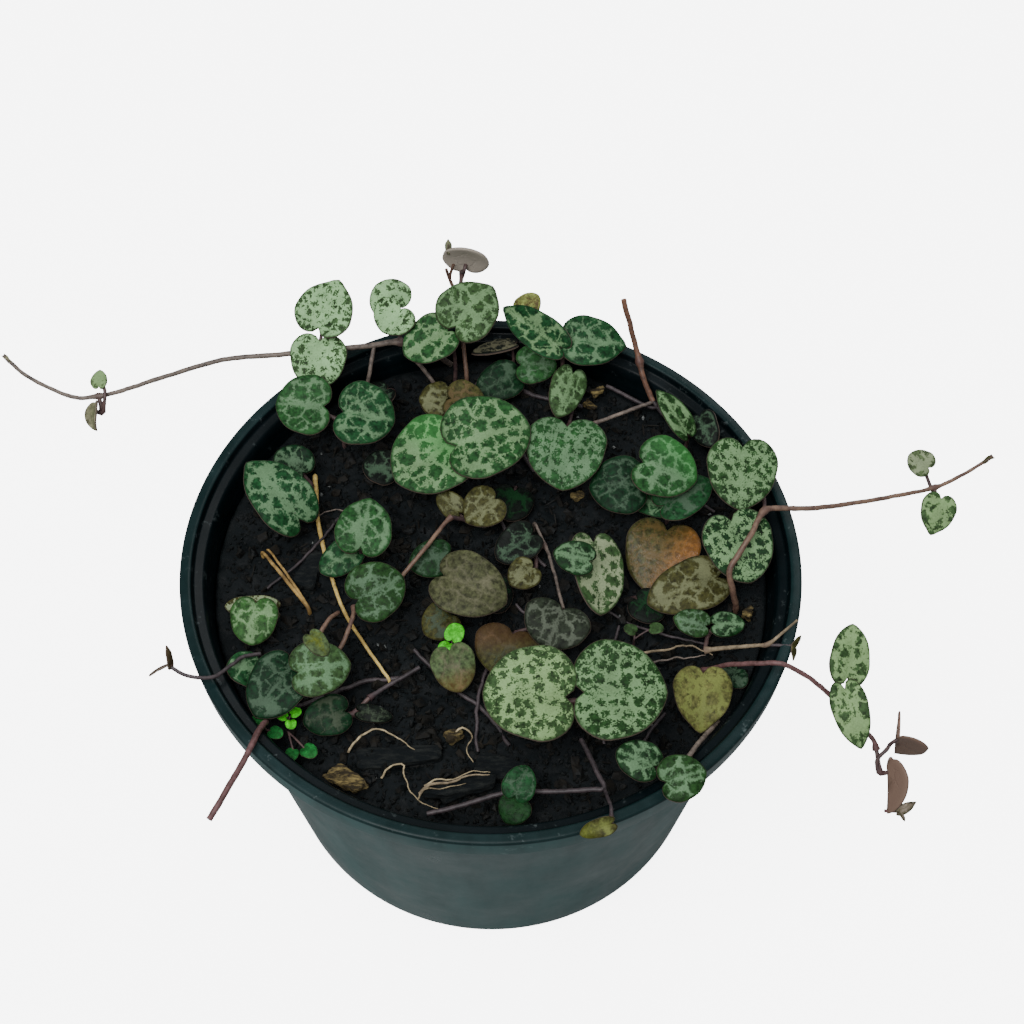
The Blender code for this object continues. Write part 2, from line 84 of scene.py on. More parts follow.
def put(tree, kind, sockets=None, out=0, points=None, **settings):
    """Add a node with its settings and links, and return one of its outputs.

    After a space, kind may name the node's operation.  sockets maps an input's name or number to
    a value or to another node's output, or lists these in the order of the inputs, and points are
    the knots of a Float Curve.
    """
    kind, _, operation = kind.partition(" ")
    made = tree.nodes.new(kind)
    if operation:
        made.operation = operation
    for key, value in settings.items():
        setattr(made, key, value)
    if points:
        curve = made.mapping.curves[0]
        while len(curve.points) < len(points):
            curve.points.new(0.5, 0.5)
        for knot, place in zip(curve.points, points):
            knot.location = place
        made.mapping.update()
    for key, value in enumerate(sockets) if isinstance(sockets, list) else (sockets or {}).items():
        socket = made.inputs[key]
        if isinstance(value, bpy.types.NodeSocket):
            tree.links.new(value, socket)
        else:
            socket.default_value = value
    return made.outputs[out] if len(made.outputs) else made


def new_material(name, **principled):
    """A material with one Principled shader whose plain sockets are set, such as Coat_Weight=0.4."""
    material = bpy.data.materials.new(name)
    material.use_nodes = True
    shader = material.node_tree.nodes["Principled BSDF"]
    for socket, value in principled.items():
        shader.inputs[socket.replace("_", " ")].default_value = value
    return material, material.node_tree, shader


def new_tree(name, **inputs):
    """An empty Geometry Nodes tree with these inputs, and the node that holds them."""
    tree = bpy.data.node_groups.new(name, "GeometryNodeTree")
    tree.interface.new_socket("Geometry", in_out="OUTPUT", socket_type="NodeSocketGeometry")
    for label, kind in inputs.items():
        tree.interface.new_socket(label.replace("_", " "), in_out="INPUT", socket_type="NodeSocket" + kind)
    return tree, tree.nodes.new("NodeGroupInput").outputs


def close_tree(tree, geometry, material):
    """End a tree the way the export needs: real geometry with its material."""
    geometry = put(tree, "GeometryNodeRealizeInstances", {"Geometry": geometry})
    geometry = put(tree, "GeometryNodeSetMaterial", {"Geometry": geometry, "Material": material})
    tree.links.new(geometry, tree.nodes.new("NodeGroupOutput").inputs[0])


def grow(name, tree, base=None, **values):
    """Run a node tree on a mesh, or on nothing, and return the plain mesh that it makes."""
    holder = bpy.data.objects.new(name, base or bpy.data.meshes.new(name))
    bpy.context.scene.collection.objects.link(holder)
    modifier = holder.modifiers.new(name, "NODES")
    modifier.node_group = tree
    for socket in tree.interface.items_tree:
        key = socket.name.replace(" ", "_")
        if socket.in_out == "INPUT" and key in values:
            modifier[socket.identifier] = values[key]
    evaluated = holder.evaluated_get(bpy.context.evaluated_depsgraph_get())
    mesh = bpy.data.meshes.new_from_object(evaluated)
    bpy.data.objects.remove(holder)
    return mesh


def polyline(points, swell=()):
    """A mesh of edges through points in mm, with how swollen the stem is at each."""
    mesh = bpy.data.meshes.new("polyline")
    mesh.from_pydata([tuple(p) for p in points], [(i, i + 1) for i in range(len(points) - 1)], [])
    if swell:
        mesh.attributes.new("swell", "FLOAT", "POINT").data.foreach_set("value", list(swell))
    return mesh


def show(name, meshes, slot, *nodes):
    """Join meshes made in mm into one piece of the object, in the place of these CAD nodes."""
    parts = []
    for mesh in meshes:
        mesh.transform(TO_METRES)
        parts.append(bpy.data.objects.new(name, mesh))
        bpy.context.scene.collection.objects.link(parts[-1])
    piece = parts[0]
    if len(parts) > 1:
        with bpy.context.temp_override(active_object=piece, selected_editable_objects=parts):
            bpy.ops.object.join()
    piece.name = piece.data.name = name
    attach(piece, "root")
    if nodes:
        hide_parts(*nodes)
    return piece


# %% [markdown]
# ## Camera, floor and light
# The camera looks down on the pot from the front, far enough away for a mild perspective.  The
# floor is plain pale paper, and the light is that of a bright overcast room: a white sky from
# all round, one large softbox above and in front to the left, and a weak one behind to the right.

# %% Camera
CAMERA_DISTANCE = 467.4
CAMERA_ELEVATION = 57.0
CAMERA_FIELD = 30.0
CAMERA_PAN, CAMERA_TILT, CAMERA_ROLL = 0.64, 1.37, -0.49

rim_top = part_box("pot")[1].z / MM
tilt_down = math.radians(90 - CAMERA_ELEVATION)
camera = bpy.data.objects.new("camera", bpy.data.cameras.new("camera"))
camera.data.angle = math.radians(CAMERA_FIELD)
camera.data.clip_start = 0.02
bpy.context.scene.collection.objects.link(camera)
camera.matrix_world = (
    Matrix.Translation(Vector((0, -math.sin(tilt_down), math.cos(tilt_down))) * CAMERA_DISTANCE * MM
                       + Vector((0, 0, rim_top * MM)))
    @ Matrix.Rotation(tilt_down, 4, "X")
    @ Matrix.Rotation(math.radians(-CAMERA_PAN), 4, "Y")
    @ Matrix.Rotation(math.radians(CAMERA_TILT), 4, "X")
    @ Matrix.Rotation(math.radians(CAMERA_ROLL), 4, "Z"))
bpy.context.scene.camera = camera
print("camera at", [round(c / MM) for c in camera.location], "mm")

# %% Floor and light
FLOOR_SIZE = 6000.0
FLOOR_GLOW = 6.0
ROOM_LIGHT = 0.6
paper, tree, shader = new_material("matt white paper", Roughness=0.9)
grain = put(tree, "ShaderNodeTexNoise", {"Vector": put(tree, "ShaderNodeTexCoord", out="Object"),
                                         "Scale": 3.0})
tone = put(tree, "ShaderNodeMix", {0: grain, "A": linear("f4f4f4"), "B": linear("f7f7f7")}, out=2,
           data_type="RGBA")
tree.links.new(tone, shader.inputs["Emission Color"])
# The paper is lit from below like a light table.  Flags keep its glow off the pot, which would
# otherwise mirror it and look grey.
seen = put(tree, "ShaderNodeLightPath", out="Is Camera Ray")
shade = put(tree, "ShaderNodeMix", {0: seen, "A": linear("949494"), "B": tone}, out=2, data_type="RGBA")
tree.links.new(shade, shader.inputs["Base Color"])
tree.links.new(put(tree, M + "MULTIPLY", [seen, FLOOR_GLOW]), shader.inputs["Emission Strength"])

floor_mesh = bpy.data.meshes.new("floor")
half = FLOOR_SIZE / 2 * MM
floor_mesh.from_pydata([(-half, -half, 0), (half, -half, 0), (half, half, 0), (-half, half, 0)], [],
                       [(0, 1, 2, 3)])
floor_mesh.materials.append(paper)
floor = bpy.data.objects.new("floor", floor_mesh)
bpy.context.scene.collection.objects.link(floor)

world = bpy.data.worlds.new("white room")
bpy.context.scene.world = world
world.use_nodes = True
tree = world.node_tree
seen = put(tree, "ShaderNodeLightPath", out="Is Camera Ray")
room = put(tree, "ShaderNodeMix", {0: seen, "A": linear("eef2f6"), "B": linear("f5f5f5")}, out=2,
           data_type="RGBA")
power = put(tree, "ShaderNodeMix", {0: seen, "A": ROOM_LIGHT, "B": FLOOR_GLOW})
tree.links.new(room, tree.nodes["Background"].inputs["Color"])
tree.links.new(power, tree.nodes["Background"].inputs["Strength"])


def softbox(name, place, size, power):
    """A square area light that faces the top of the pot."""
    lamp = bpy.data.lights.new(name, "AREA")
    lamp.size, lamp.energy = size, power
    holder = bpy.data.objects.new(name, lamp)
    holder.location = place
    holder.rotation_euler = (Vector((0, 0, rim_top * MM)) - Vector(place)).to_track_quat("-Z", "Y").to_euler()
    bpy.context.scene.collection.objects.link(holder)


softbox("key softbox", (-0.30, -0.50, 1.25), 0.9, 29)
softbox("back softbox", (0.45, 0.75, 0.95), 0.6, 5)

# %% [markdown]
# ## Reading the CAD leaves
# A CAD leaf is a flat heart with a low peak on top.  Its flat underside tells everything about
# its place.  The face's normal says which way is down.  A rubber band round the outline touches
# the tip but not the notch, so the tip is the band's corner farthest from what it misses.  The
# two corners next to the tip lie evenly about the midrib, at a known share of length and width.

# %% Measure each leaf's place, length and width
SAME_PLANE = 0.9998  # the cosine between the normals of faces in one plane
WELD_DISTANCE = 0.002


def welded(node):
    """A CAD node's mesh in mm with its triangles joined up."""
    shell = bmesh.new()
    shell.from_mesh(frame["nodes"][node].data)
    shell.transform(Matrix.Scale(1 / MM, 4))
    bmesh.ops.remove_doubles(shell, verts=shell.verts, dist=WELD_DISTANCE)
    shell.normal_update()
    return shell


def flat_regions(shell):
    """Connected sets of faces that lie in one plane, the largest first.

    The faces are kept in the mesh's own order, so that every run adds them up alike.
    """
    left, regions = dict.fromkeys(shell.faces), []
    while left:
        seed = next(iter(left))
        del left[seed]
        region, edge = [seed], [seed]
        while edge:
            face = edge.pop()
            for near in (f for e in face.edges for f in e.link_faces):
                if near in left and near.normal.dot(seed.normal) > SAME_PLANE:
                    del left[near]
                    region.append(near)
                    edge.append(near)
        regions.append(region)
    return sorted(regions, key=lambda faces: -sum(f.calc_area() for f in faces))


# The outline's last corners before the tip, in leaf lengths and half widths.
SHOULDER_ALONG, SHOULDER_ACROSS = 0.78, 0.57


def read_blade(region):
    """The frame (X along the midrib, Z out of the upper face), length and width of one leaf."""
    up = -sum((f.normal * f.calc_area() for f in region), Vector()).normalized()
    side = up.orthogonal().normalized()
    other = up.cross(side)
    corners = list(dict.fromkeys(v for f in region for v in f.verts))
    flat = [Vector((v.co.dot(side), v.co.dot(other))) for v in corners]
    ring = convex_hull_2d(flat)
    inner = [i for i in range(len(flat)) if i not in ring]
    middle = sum((flat[i] for i in inner), Vector((0, 0))) / len(inner)
    turn = max(range(len(ring)), key=lambda k: (flat[ring[k]] - middle).length)
    tip = corners[ring[turn]].co
    left, right = corners[ring[turn - 1]].co, corners[ring[(turn + 1) % len(ring)]].co
    along = tip - (left + right) / 2
    length = along.length / (1 - SHOULDER_ALONG)
    width = (left - right).length / SHOULDER_ACROSS
    along.normalize()
    place = Matrix((along, up.cross(along), up)).transposed().to_4x4()
    place.translation = tip - along * length
    return place, length, width


STALK_RADIUS = 0.55
PLAIN_VINE_RADIUS = 0.65
VINE_RADIUS = {"vine_runner_left": 0.70, "vine_stub_back_right": 0.80, "vine_stub_front_left": 0.80,
               "vine_tendril_left": 0.60, "vine_middle": 0.60, "vine_front_left": 0.60,
               "vine_fork_left": 0.60, "vine_thin_middle": 0.45, "straw_long": 0.75, "straw_short": 1.0}


def ring_middles(verts, radius):
    """The middles of a tube's rings, and the pairs of rings that edges join.

    From every corner, one radius inward lies the centreline.
    """
    rings, ring_of = [], {}
    for vert in verts:
        vote = vert.co - vert.normal * radius
        number = next((i for i, (total, count) in enumerate(rings)
                       if (total / count - vote).length < 0.8 * radius), len(rings))
        if number == len(rings):
            rings.append([Vector(), 0])
        rings[number][0] += vote
        rings[number][1] += 1
        ring_of[vert] = number
    whole = [i for i, (_, count) in enumerate(rings) if count >= 4]
    joined = set()
    for vert, number in ring_of.items():
        for near in (edge.other_vert(vert) for edge in vert.link_edges):
            other = ring_of.get(near)
            if other in whole and number in whole and other != number:
                joined.add((whole.index(number), whole.index(other)))
    return [rings[i][0] / rings[i][1] for i in whole], joined


def nearest_chain(start, points):
    """Points in the order in which a walk from start meets them."""
    chain, left = [], list(points)
    while left:
        start = min(left, key=lambda p: (p - start).length)
        left.remove(start)
        chain.append(start)
    return chain


leaf_nodes = sorted(n for n in frame["nodes"] if n.startswith(("leaf_", "leaves_")))
blades, stalks = {}, {}
for node in leaf_nodes:
    shell = welded(node)
    count = 2 if node.startswith("leaves") else 1
    found = [read_blade(region) for region in flat_regions(shell)[:count]]
    free = []
    for vert in shell.verts:
        local = [place.inverted() @ vert.co for place, _, _ in found]
        if not any(-0.05 < p.z < 1.9 and -0.2 * size[1] < p.x < 1.05 * size[1] and abs(p.y) < 0.55 * size[2]
                   for p, size in zip(local, found)):
            free.append(vert)
    found.sort(key=lambda b: (b[0] @ Vector((0.45 * b[1], 0, 0))).x)
    roots = [place @ Vector((min(1.5, length / 4), 0, 0.5)) for place, length, _ in found]
    blades[node] = found
    stalks[node] = [roots[0]] + nearest_chain(roots[0], ring_middles(free, STALK_RADIUS)[0]) + roots[1:]
    print(node, [f"{length:.1f} x {width:.1f} mm" for _, length, width in found], "stalk points",
          len(stalks[node]))
    shell.free()

# %% [markdown]
# ## Growing a leaf
# A leaf here is a fleshy heart about a millimetre thick, with a rounded margin.  Every leaf is
# the same heart with its own length, width, fold and bend, which is what a Geometry Nodes tree
# is for.  The tree starts from a flat grid.  One side of the grid turns once round the heart,
# starting and ending at the notch.  The other side runs from the middle of the upper face out to
# the margin and back to the middle of the lower face.  Three curves give the outline's reach, and
# the radius and height of each ring.  Before the grid is bent the tree stores where each point
# lies on the flat leaf, because the pattern has to follow the leaf.

# %% The heart blade tree
BLADE_RINGS, BLADE_SIDES = 15, 48
BLADE_HEART = 0.4
OUTLINE = [(0.0, 0.585), (0.083, 0.56), (0.27, 0.50), (0.49, 0.485), (0.63, 0.55), (0.75, 0.60),
           (0.85, 0.625), (0.92, 0.59), (1.0, 0.43)]
RING_RADIUS = [(0.0, 0.0), (0.50, 0.93), (0.57, 0.985), (0.62, 1.0), (0.67, 0.985), (0.74, 0.90), (1.0, 0.0)]
RING_HEIGHT = [(0.0, 1.0), (0.45, 1.0), (0.55, 0.86), (0.62, 0.5), (0.69, 0.14), (0.78, 0.0), (1.0, 0.0)]

blade_tree, given = new_tree(
    "heart blade", Length="Float", Width="Float", Thickness="Float", Dome="Float", Curl="Float", Fold="Float",
    Wave="Float", Tip="Float", Notch="Float", Lift="Float", Seed="Float", Dark="Color", Pale="Color",
    Flush="Color", Flushed="Float", Flush_Turn="Float", Material="Material")
t = blade_tree
grid = put(t, "GeometryNodeMeshGrid", {"Vertices X": BLADE_RINGS, "Vertices Y": BLADE_SIDES + 1,
                                       "Size X": 1.0, "Size Y": 1.0})
start = put(t, "ShaderNodeSeparateXYZ", {0: put(t, "GeometryNodeInputPosition")}).node.outputs
walk = put(t, M + "ADD", [start["X"], 0.5])
angle = put(t, M + "MULTIPLY", [start["Y"], 2 * math.pi])
turn = put(t, M + "MULTIPLY", [put(t, M + "ABSOLUTE", [start["Y"]]), 2.0])
reach = put(t, "ShaderNodeFloatCurve", {"Value": turn}, points=OUTLINE)
apex = put(t, M + "MULTIPLY", [put(t, M + "POWER", [put(t, M + "DIVIDE", [turn, 0.07]), 2.0]), -1.0])
apex = put(t, M + "MULTIPLY_ADD", [put(t, M + "EXPONENT", [apex]), given["Tip"], reach])
cleft = put(t, M + "DIVIDE", [put(t, M + "SUBTRACT", [1.0, turn]), 0.09])
cleft = put(t, M + "MULTIPLY", [put(t, M + "POWER", [cleft, 2.0]), -1.0])
cleft = put(t, M + "MULTIPLY", [put(t, M + "EXPONENT", [cleft]), given["Notch"]])
reach = put(t, M + "SUBTRACT", [apex, cleft])
ring = put(t, "ShaderNodeFloatCurve", {"Value": walk}, points=RING_RADIUS)
rise = put(t, "ShaderNodeFloatCurve", {"Value": walk}, points=RING_HEIGHT)
out = put(t, M + "MULTIPLY", [reach, ring])
along = put(t, M + "MULTIPLY_ADD", [out, put(t, M + "COSINE", [angle]), BLADE_HEART])
x = put(t, M + "MULTIPLY", [along, given["Length"]])
across = put(t, M + "MULTIPLY", [out, put(t, M + "SINE", [angle])])
y = put(t, M + "MULTIPLY", [across, given["Width"]])
aside = put(t, M + "ABSOLUTE", [y])

bulge = put(t, M + "SUBTRACT", [1.0, put(t, M + "POWER", [ring, 2.0])])
z = put(t, M + "MULTIPLY", [bulge, given["Dome"]])
bend = put(t, M + "POWER", [put(t, M + "SUBTRACT", [along, BLADE_HEART]), 2.0])
bend = put(t, M + "MULTIPLY", [bend, given["Length"]])
z = put(t, M + "MULTIPLY_ADD", [bend, given["Curl"], z])
spin = put(t, M + "MULTIPLY_ADD", [angle, 3.0, given["Seed"]])
ripple = put(t, M + "MULTIPLY", [put(t, M + "SINE", [spin]), put(t, M + "POWER", [ring, 3.0])])
z = put(t, M + "MULTIPLY_ADD", [ripple, given["Wave"], z])
z = put(t, M + "MULTIPLY_ADD", [rise, given["Thickness"], z])
z = put(t, M + "MULTIPLY_ADD", [aside, put(t, M + "SINE", [given["Fold"]]), z])
z = put(t, M + "ADD", [z, given["Lift"]])
folded = put(t, M + "MULTIPLY", [y, put(t, M + "COSINE", [given["Fold"]])])

flat_place = put(t, "ShaderNodeCombineXYZ", {"X": x, "Y": y})
shift = put(t, "ShaderNodeCombineXYZ", {"X": put(t, M + "MULTIPLY", [given["Seed"], 53.0]),
                                        "Y": put(t, M + "MULTIPLY", [given["Seed"], 31.0])})
own_place = put(t, V + "ADD", [flat_place, shift])
under = put(t, M + "GREATER_THAN", [walk, 0.64])
towards = put(t, M + "MULTIPLY", [put(t, M + "SUBTRACT", [along, 0.45]),
                                  put(t, M + "COSINE", [given["Flush Turn"]])])
towards = put(t, M + "MULTIPLY_ADD", [across, put(t, M + "SINE", [given["Flush Turn"]]), towards])
flushed = put(t, "ShaderNodeMapRange", {"Value": towards, "From Min": -0.1, "From Max": 0.36},
              interpolation_type="SMOOTHSTEP")
flushed = put(t, M + "MULTIPLY", [flushed, given["Flushed"]])
geometry = grid
for label, value, kind in (("blade", flat_place, "FLOAT_VECTOR"), ("pattern", own_place, "FLOAT_VECTOR"),
                           ("rim", ring, "FLOAT"), ("under", under, "FLOAT"),
                           ("flushed", flushed, "FLOAT"), ("flush", given["Flush"], "FLOAT_COLOR"),
                           ("dark", given["Dark"], "FLOAT_COLOR"), ("pale", given["Pale"], "FLOAT_COLOR")):
    geometry = put(t, "GeometryNodeStoreNamedAttribute",
                   {"Geometry": geometry, "Name": label, "Value": value}, data_type=kind, domain="POINT")
geometry = put(t, "GeometryNodeSetPosition", {"Geometry": geometry,
                                              "Position": put(t, "ShaderNodeCombineXYZ",
                                                              {"X": x, "Y": folded, "Z": z})})
geometry = put(t, "GeometryNodeMergeByDistance", {"Geometry": geometry, "Distance": 0.002})
geometry = put(t, "GeometryNodeSetShadeSmooth", {"Geometry": geometry})
close_tree(t, geometry, given["Material"])


def blade_thickness(length):
    """How thick a leaf of this length is: a small leaf is thinner in proportion."""
    return min(0.9, 0.12 * length)


# %% [markdown]
# ## Growing a stem
# Vines, stalks, straws and roots are all round stems of changing thickness.  The tree takes a
# line of points, resamples it, lets it wander a little, and sweeps a small ring along it.  The
# ring's size follows an attribute on the points, so a vine can swell into a knuckle at each
# joint, and tapers to the stem's end.

# %% The stem tree
stem_tree, given = new_tree(
    "round stem", Line="Geometry", Radius="Float", Swelling="Float", Taper="Float", Wobble="Float",
    Step="Float", Sides="Int", Seed="Float", Material="Material")
t = stem_tree
line = put(t, "GeometryNodeMeshToCurve", {"Mesh": given["Line"]})
line = put(t, "GeometryNodeResampleCurve", {"Curve": line, "Length": given["Step"]}, mode="LENGTH")
spot = put(t, "GeometryNodeInputPosition")
spot = put(t, V + "ADD", [spot, put(t, "ShaderNodeCombineXYZ", {"X": given["Seed"]})])
drift = put(t, "ShaderNodeTexNoise", {"Vector": spot, "Scale": 0.22, "Detail": 2.0}, out="Color")
drift = put(t, V + "SUBTRACT", [drift, (0.5, 0.5, 0.5)])
drift = put(t, V + "SCALE", {0: drift, "Scale": given["Wobble"]})
line = put(t, "GeometryNodeSetPosition", {"Geometry": line, "Offset": drift})
swell = put(t, "GeometryNodeInputNamedAttribute", {"Name": "swell"}, data_type="FLOAT")
size = put(t, M + "MULTIPLY_ADD", [swell, given["Swelling"], 1.0])
share = put(t, "GeometryNodeSplineParameter", out="Factor")
taper = put(t, M + "MULTIPLY_ADD", [share, put(t, M + "SUBTRACT", [given["Taper"], 1.0]), 1.0])
lumps = put(t, "ShaderNodeTexNoise", {"Vector": spot, "Scale": 0.9, "Detail": 2.0})
lumps = put(t, M + "MULTIPLY_ADD", [lumps, 0.3, 0.85])
size = put(t, M + "MULTIPLY", [put(t, M + "MULTIPLY", [size, taper]), lumps])
size = put(t, M + "MULTIPLY", [size, given["Radius"]])
hoop = put(t, "GeometryNodeCurvePrimitiveCircle", {"Resolution": given["Sides"], "Radius": 1.0})
tube = put(t, "GeometryNodeCurveToMesh", {"Curve": line, "Profile Curve": hoop, "Scale": size,
                                          "Fill Caps": True})
tube = put(t, "GeometryNodeSetShadeSmooth", {"Geometry": tube})
close_tree(t, tube, given["Material"])


def smooth_route(points, step=0.6):
    """Points on the Catmull-Rom curve through a route."""
    knots = [2 * points[0] - points[1], *points, 2 * points[-1] - points[-2]]
    route = []
    for before, first, second, after in zip(knots, knots[1:], knots[2:], knots[3:]):
        count = max(1, round((second - first).length / step))
        for s in (i / count for i in range(count)):
            route.append(0.5 * (2 * first + (second - before) * s
                                + (2 * before - 5 * first + 4 * second - after) * s ** 2
                                + (3 * first - before - 3 * second + after) * s ** 3))
    return route + [points[-1].copy()]


def stem(name, points, radius, material, knuckles=(), swelling=0.7, spread=1.1, taper=1.0, wobble=0.0,
         sides=10, step=0.8, seed=0.0):
    """A round stem through points, swollen where a knuckle is near."""
    route = smooth_route([Vector(p) for p in points])
    swell = [sum(math.exp(-((p - k).length / spread) ** 2) for k in knuckles) for p in route]
    return grow(name, stem_tree, polyline(route, swell), Radius=radius, Swelling=swelling, Taper=taper,
                Wobble=wobble, Step=step, Sides=sides, Seed=seed, Material=material)


# %% [markdown]
# ## Leaf finishes
# The skin of a real leaf is waxy and smooth.  Dark green pads lie between paler veins, and in the
# palest leaves the dark breaks up into freckles.  So one material recipe serves them all: the
# distance to the nearest vein, made ragged with noise, chooses between the leaf's dark and its
# pale colour, and the recipe's numbers say how wide the veins are and how much the dark breaks.
# Veins come from a Voronoi net and from a fan of ribs that leaves the notch.  The pale net fades
# before the margin, so a band of plain green runs round the leaf.

# %% Leaf materials
def leaf_material(name, cell, vein, fray, freckle=0.0, cluster=1.0, band=0.9, fade=0.5, fan=0.4, soft=0.2,
                  edge="3c312e", under="5f554b", roughness=0.5, coat=0.0):
    """Waxy leaf skin.  In mm: cell is a pad's width, vein half the pale gap between two pads, fray
    how ragged the pads are and freckle how much they break into dots."""
    material, tree, shader = new_material(name, Roughness=roughness, Coat_Weight=coat, Coat_Roughness=0.12,
                                          IOR=1.42, Specular_IOR_Level=0.08)
    flat_place, own_place, rim, below, flushed, flush, dark, pale = (
        put(tree, "ShaderNodeAttribute", out=out, attribute_name=label) for label, out in (
            ("blade", "Vector"), ("pattern", "Vector"), ("rim", "Fac"), ("under", "Fac"), ("flushed", "Fac"),
            ("flush", "Color"), ("dark", "Color"), ("pale", "Color")))

    def swing(scale, amount, detail=3.0):
        """Noise on the leaf that swings about zero by about amount."""
        wave = put(tree, "ShaderNodeTexNoise", {"Vector": own_place, "Scale": scale, "Detail": detail,
                                                "Roughness": 0.6})
        return put(tree, M + "MULTIPLY", [put(tree, M + "SUBTRACT", [wave, 0.5]), amount])

    drift = put(tree, "ShaderNodeTexNoise", {"Vector": own_place, "Scale": 0.45, "Detail": 2.0}, out="Color")
    drift = put(tree, V + "SUBTRACT", [drift, (0.5, 0.5, 0.5)])
    warped = put(tree, V + "MULTIPLY_ADD", [drift, (3.2, 3.2, 0.0), own_place])
    net = put(tree, "ShaderNodeTexVoronoi", {"Vector": warped, "Scale": 1 / cell, "Randomness": 0.8},
              feature="DISTANCE_TO_EDGE", voronoi_dimensions="2D")
    net = put(tree, M + "MULTIPLY", [net, cell])
    centre = put(tree, "ShaderNodeTexVoronoi", {"Vector": warped, "Scale": 1 / cell, "Randomness": 0.8},
                 feature="F1", voronoi_dimensions="2D")
    disc = put(tree, M + "MULTIPLY_ADD", [centre, -0.9 * cell, 0.62 * cell])
    net = put(tree, M + "SMOOTH_MIN", [net, disc, 0.3 * cell])
    bent = put(tree, V + "MULTIPLY_ADD", [drift, (1.4, 1.4, 0.0), flat_place])
    place = put(tree, "ShaderNodeSeparateXYZ", {0: bent}).node.outputs
    aside = put(tree, M + "ABSOLUTE", [place["Y"]])
    heading = put(tree, M + "ARCTAN2", [aside, place["X"]])
    away = put(tree, V + "LENGTH", [bent], out="Value")
    rib = put(tree, M + "MULTIPLY", [put(tree, M + "PINGPONG", [heading, fan]), away])
    rib = put(tree, M + "ADD", [rib, 0.25])
    rib = put(tree, M + "MINIMUM", [rib, put(tree, M + "MULTIPLY", [aside, 0.55])])
    veins = put(tree, M + "SMOOTH_MIN", [net, rib, 0.4])
    for ripple in (swing(0.3, cluster), swing(1.1, fray, 5.0), swing(2.4, freckle, 1.0)):
        veins = put(tree, M + "ADD", [veins, ripple])
    outward = put(tree, "ShaderNodeMapRange", {"Value": rim, "From Min": 0.45, "From Max": band,
                                               "To Max": fade})
    veins = put(tree, M + "ADD", [veins, outward])
    pads = put(tree, "ShaderNodeMapRange", {"Value": veins, "From Min": vein - soft, "From Max": vein + soft},
               interpolation_type="SMOOTHSTEP")
    frayed_rim = put(tree, M + "ADD", [rim, swing(0.9, 0.12)])
    outer = put(tree, "ShaderNodeMapRange", {"Value": frayed_rim, "From Min": band - 0.04,
                                             "From Max": band + 0.03})
    pads = put(tree, M + "MAXIMUM", [pads, outer])
    fleck = put(tree, "ShaderNodeMapRange", {"Value": swing(0.8, 1.0, 4.0), "From Min": -0.16,
                                             "From Max": 0.2, "To Min": 0.55, "To Max": 2.6})
    dark = put(tree, "ShaderNodeHueSaturation", {"Color": dark, "Value": fleck})
    colour = put(tree, "ShaderNodeMix", {0: pads, "A": pale, "B": dark}, out=2, data_type="RGBA")
    overlay = put(tree, "ShaderNodeMapRange", {"Value": pads, "To Min": 1.3, "To Max": 0.75})
    overlay = put(tree, "ShaderNodeHueSaturation", {"Color": flush, "Value": overlay})
    colour = put(tree, "ShaderNodeMix", {0: flushed, "A": colour, "B": overlay}, out=2, data_type="RGBA")
    cloud = put(tree, M + "ADD", [swing(0.16, 1.0), swing(2.2, 0.7, 2.0)])
    colour = put(tree, "ShaderNodeHueSaturation", {"Color": colour,
                                                   "Value": put(tree, M + "ADD", [cloud, 1.0])})
    hem = put(tree, "ShaderNodeMapRange", {"Value": rim, "From Min": 0.97, "From Max": 0.995})
    colour = put(tree, "ShaderNodeMix", {0: hem, "A": colour, "B": linear(edge)}, out=2, data_type="RGBA")
    colour = put(tree, "ShaderNodeMix", {0: below, "A": colour, "B": linear(under)}, out=2, data_type="RGBA")
    tree.links.new(colour, shader.inputs["Base Color"])

    relief = put(tree, M + "ADD", [pads, swing(1.6, 1.0)])
    bump = put(tree, "ShaderNodeBump", {"Height": relief, "Distance": 0.00016, "Strength": 0.5})
    tree.links.new(bump, shader.inputs["Normal"])
    drops = put(tree, "ShaderNodeBump", {"Height": swing(0.9, 1.0), "Distance": 0.001, "Strength": 0.5})
    tree.links.new(drops, shader.inputs["Coat Normal"])
    tree.links.new(put(tree, M + "ADD", [swing(1.6, 0.3), roughness]), shader.inputs["Roughness"])
    return material


LEAF_FINISH = {
    "silver": leaf_material("waxy silver leaf", cell=2.4, vein=0.56, fray=2.0, freckle=1.7, cluster=2.6,
                            band=0.955, fade=0.2),
    "freckled": leaf_material("waxy freckled leaf", cell=2.9, vein=0.50, fray=2.4, freckle=1.9, cluster=2.8,
                              band=0.955, fade=0.25, fan=0.6),
    "mottled": leaf_material("waxy mottled leaf", cell=3.9, vein=0.44, fray=1.7, freckle=1.2, cluster=2.0,
                             band=0.935, fade=0.15, soft=0.24),
    "netted": leaf_material("waxy netted leaf", cell=4.1, vein=0.31, fray=1.3, freckle=0.9, cluster=1.0,
                            band=0.90, fade=0.1, soft=0.3),
    "dim": leaf_material("waxy dim leaf", cell=3.8, vein=0.20, fray=1.2, freckle=0.9, band=0.87, fade=0.15,
                         soft=0.4),
    "plain": leaf_material("dull plain leaf", cell=4.0, vein=0.05, fray=1.2, freckle=0.8, fade=0.3, soft=0.7),
    # This leaf's underside is painted paler than its own colour: painted light that stands for light shining
    # through the leaf.
    "painted-backlight": leaf_material("painted-backlight leaf", cell=4.0, vein=0.10, fray=1.0, under="8d857a"),
    "rosy": leaf_material("rosy folded leaf", cell=4.0, vein=0.10, fray=1.0, under="5c4b41"),
    "wet": leaf_material("wet bronze leaf", cell=2.6, vein=0.3, fray=2.0, freckle=1.4, fade=0.1, soft=0.6,
                         roughness=0.4, coat=0.2),
}

# %% [markdown]
# ## Each leaf's look
# A leaf's look is its finish, the colour of its dark pads and that of its pale net, and a pair is
# read from left to right.  A leaf that isn't given a bend of its own gets a slight one, drawn at
# random with its node's name and its number as the seed.

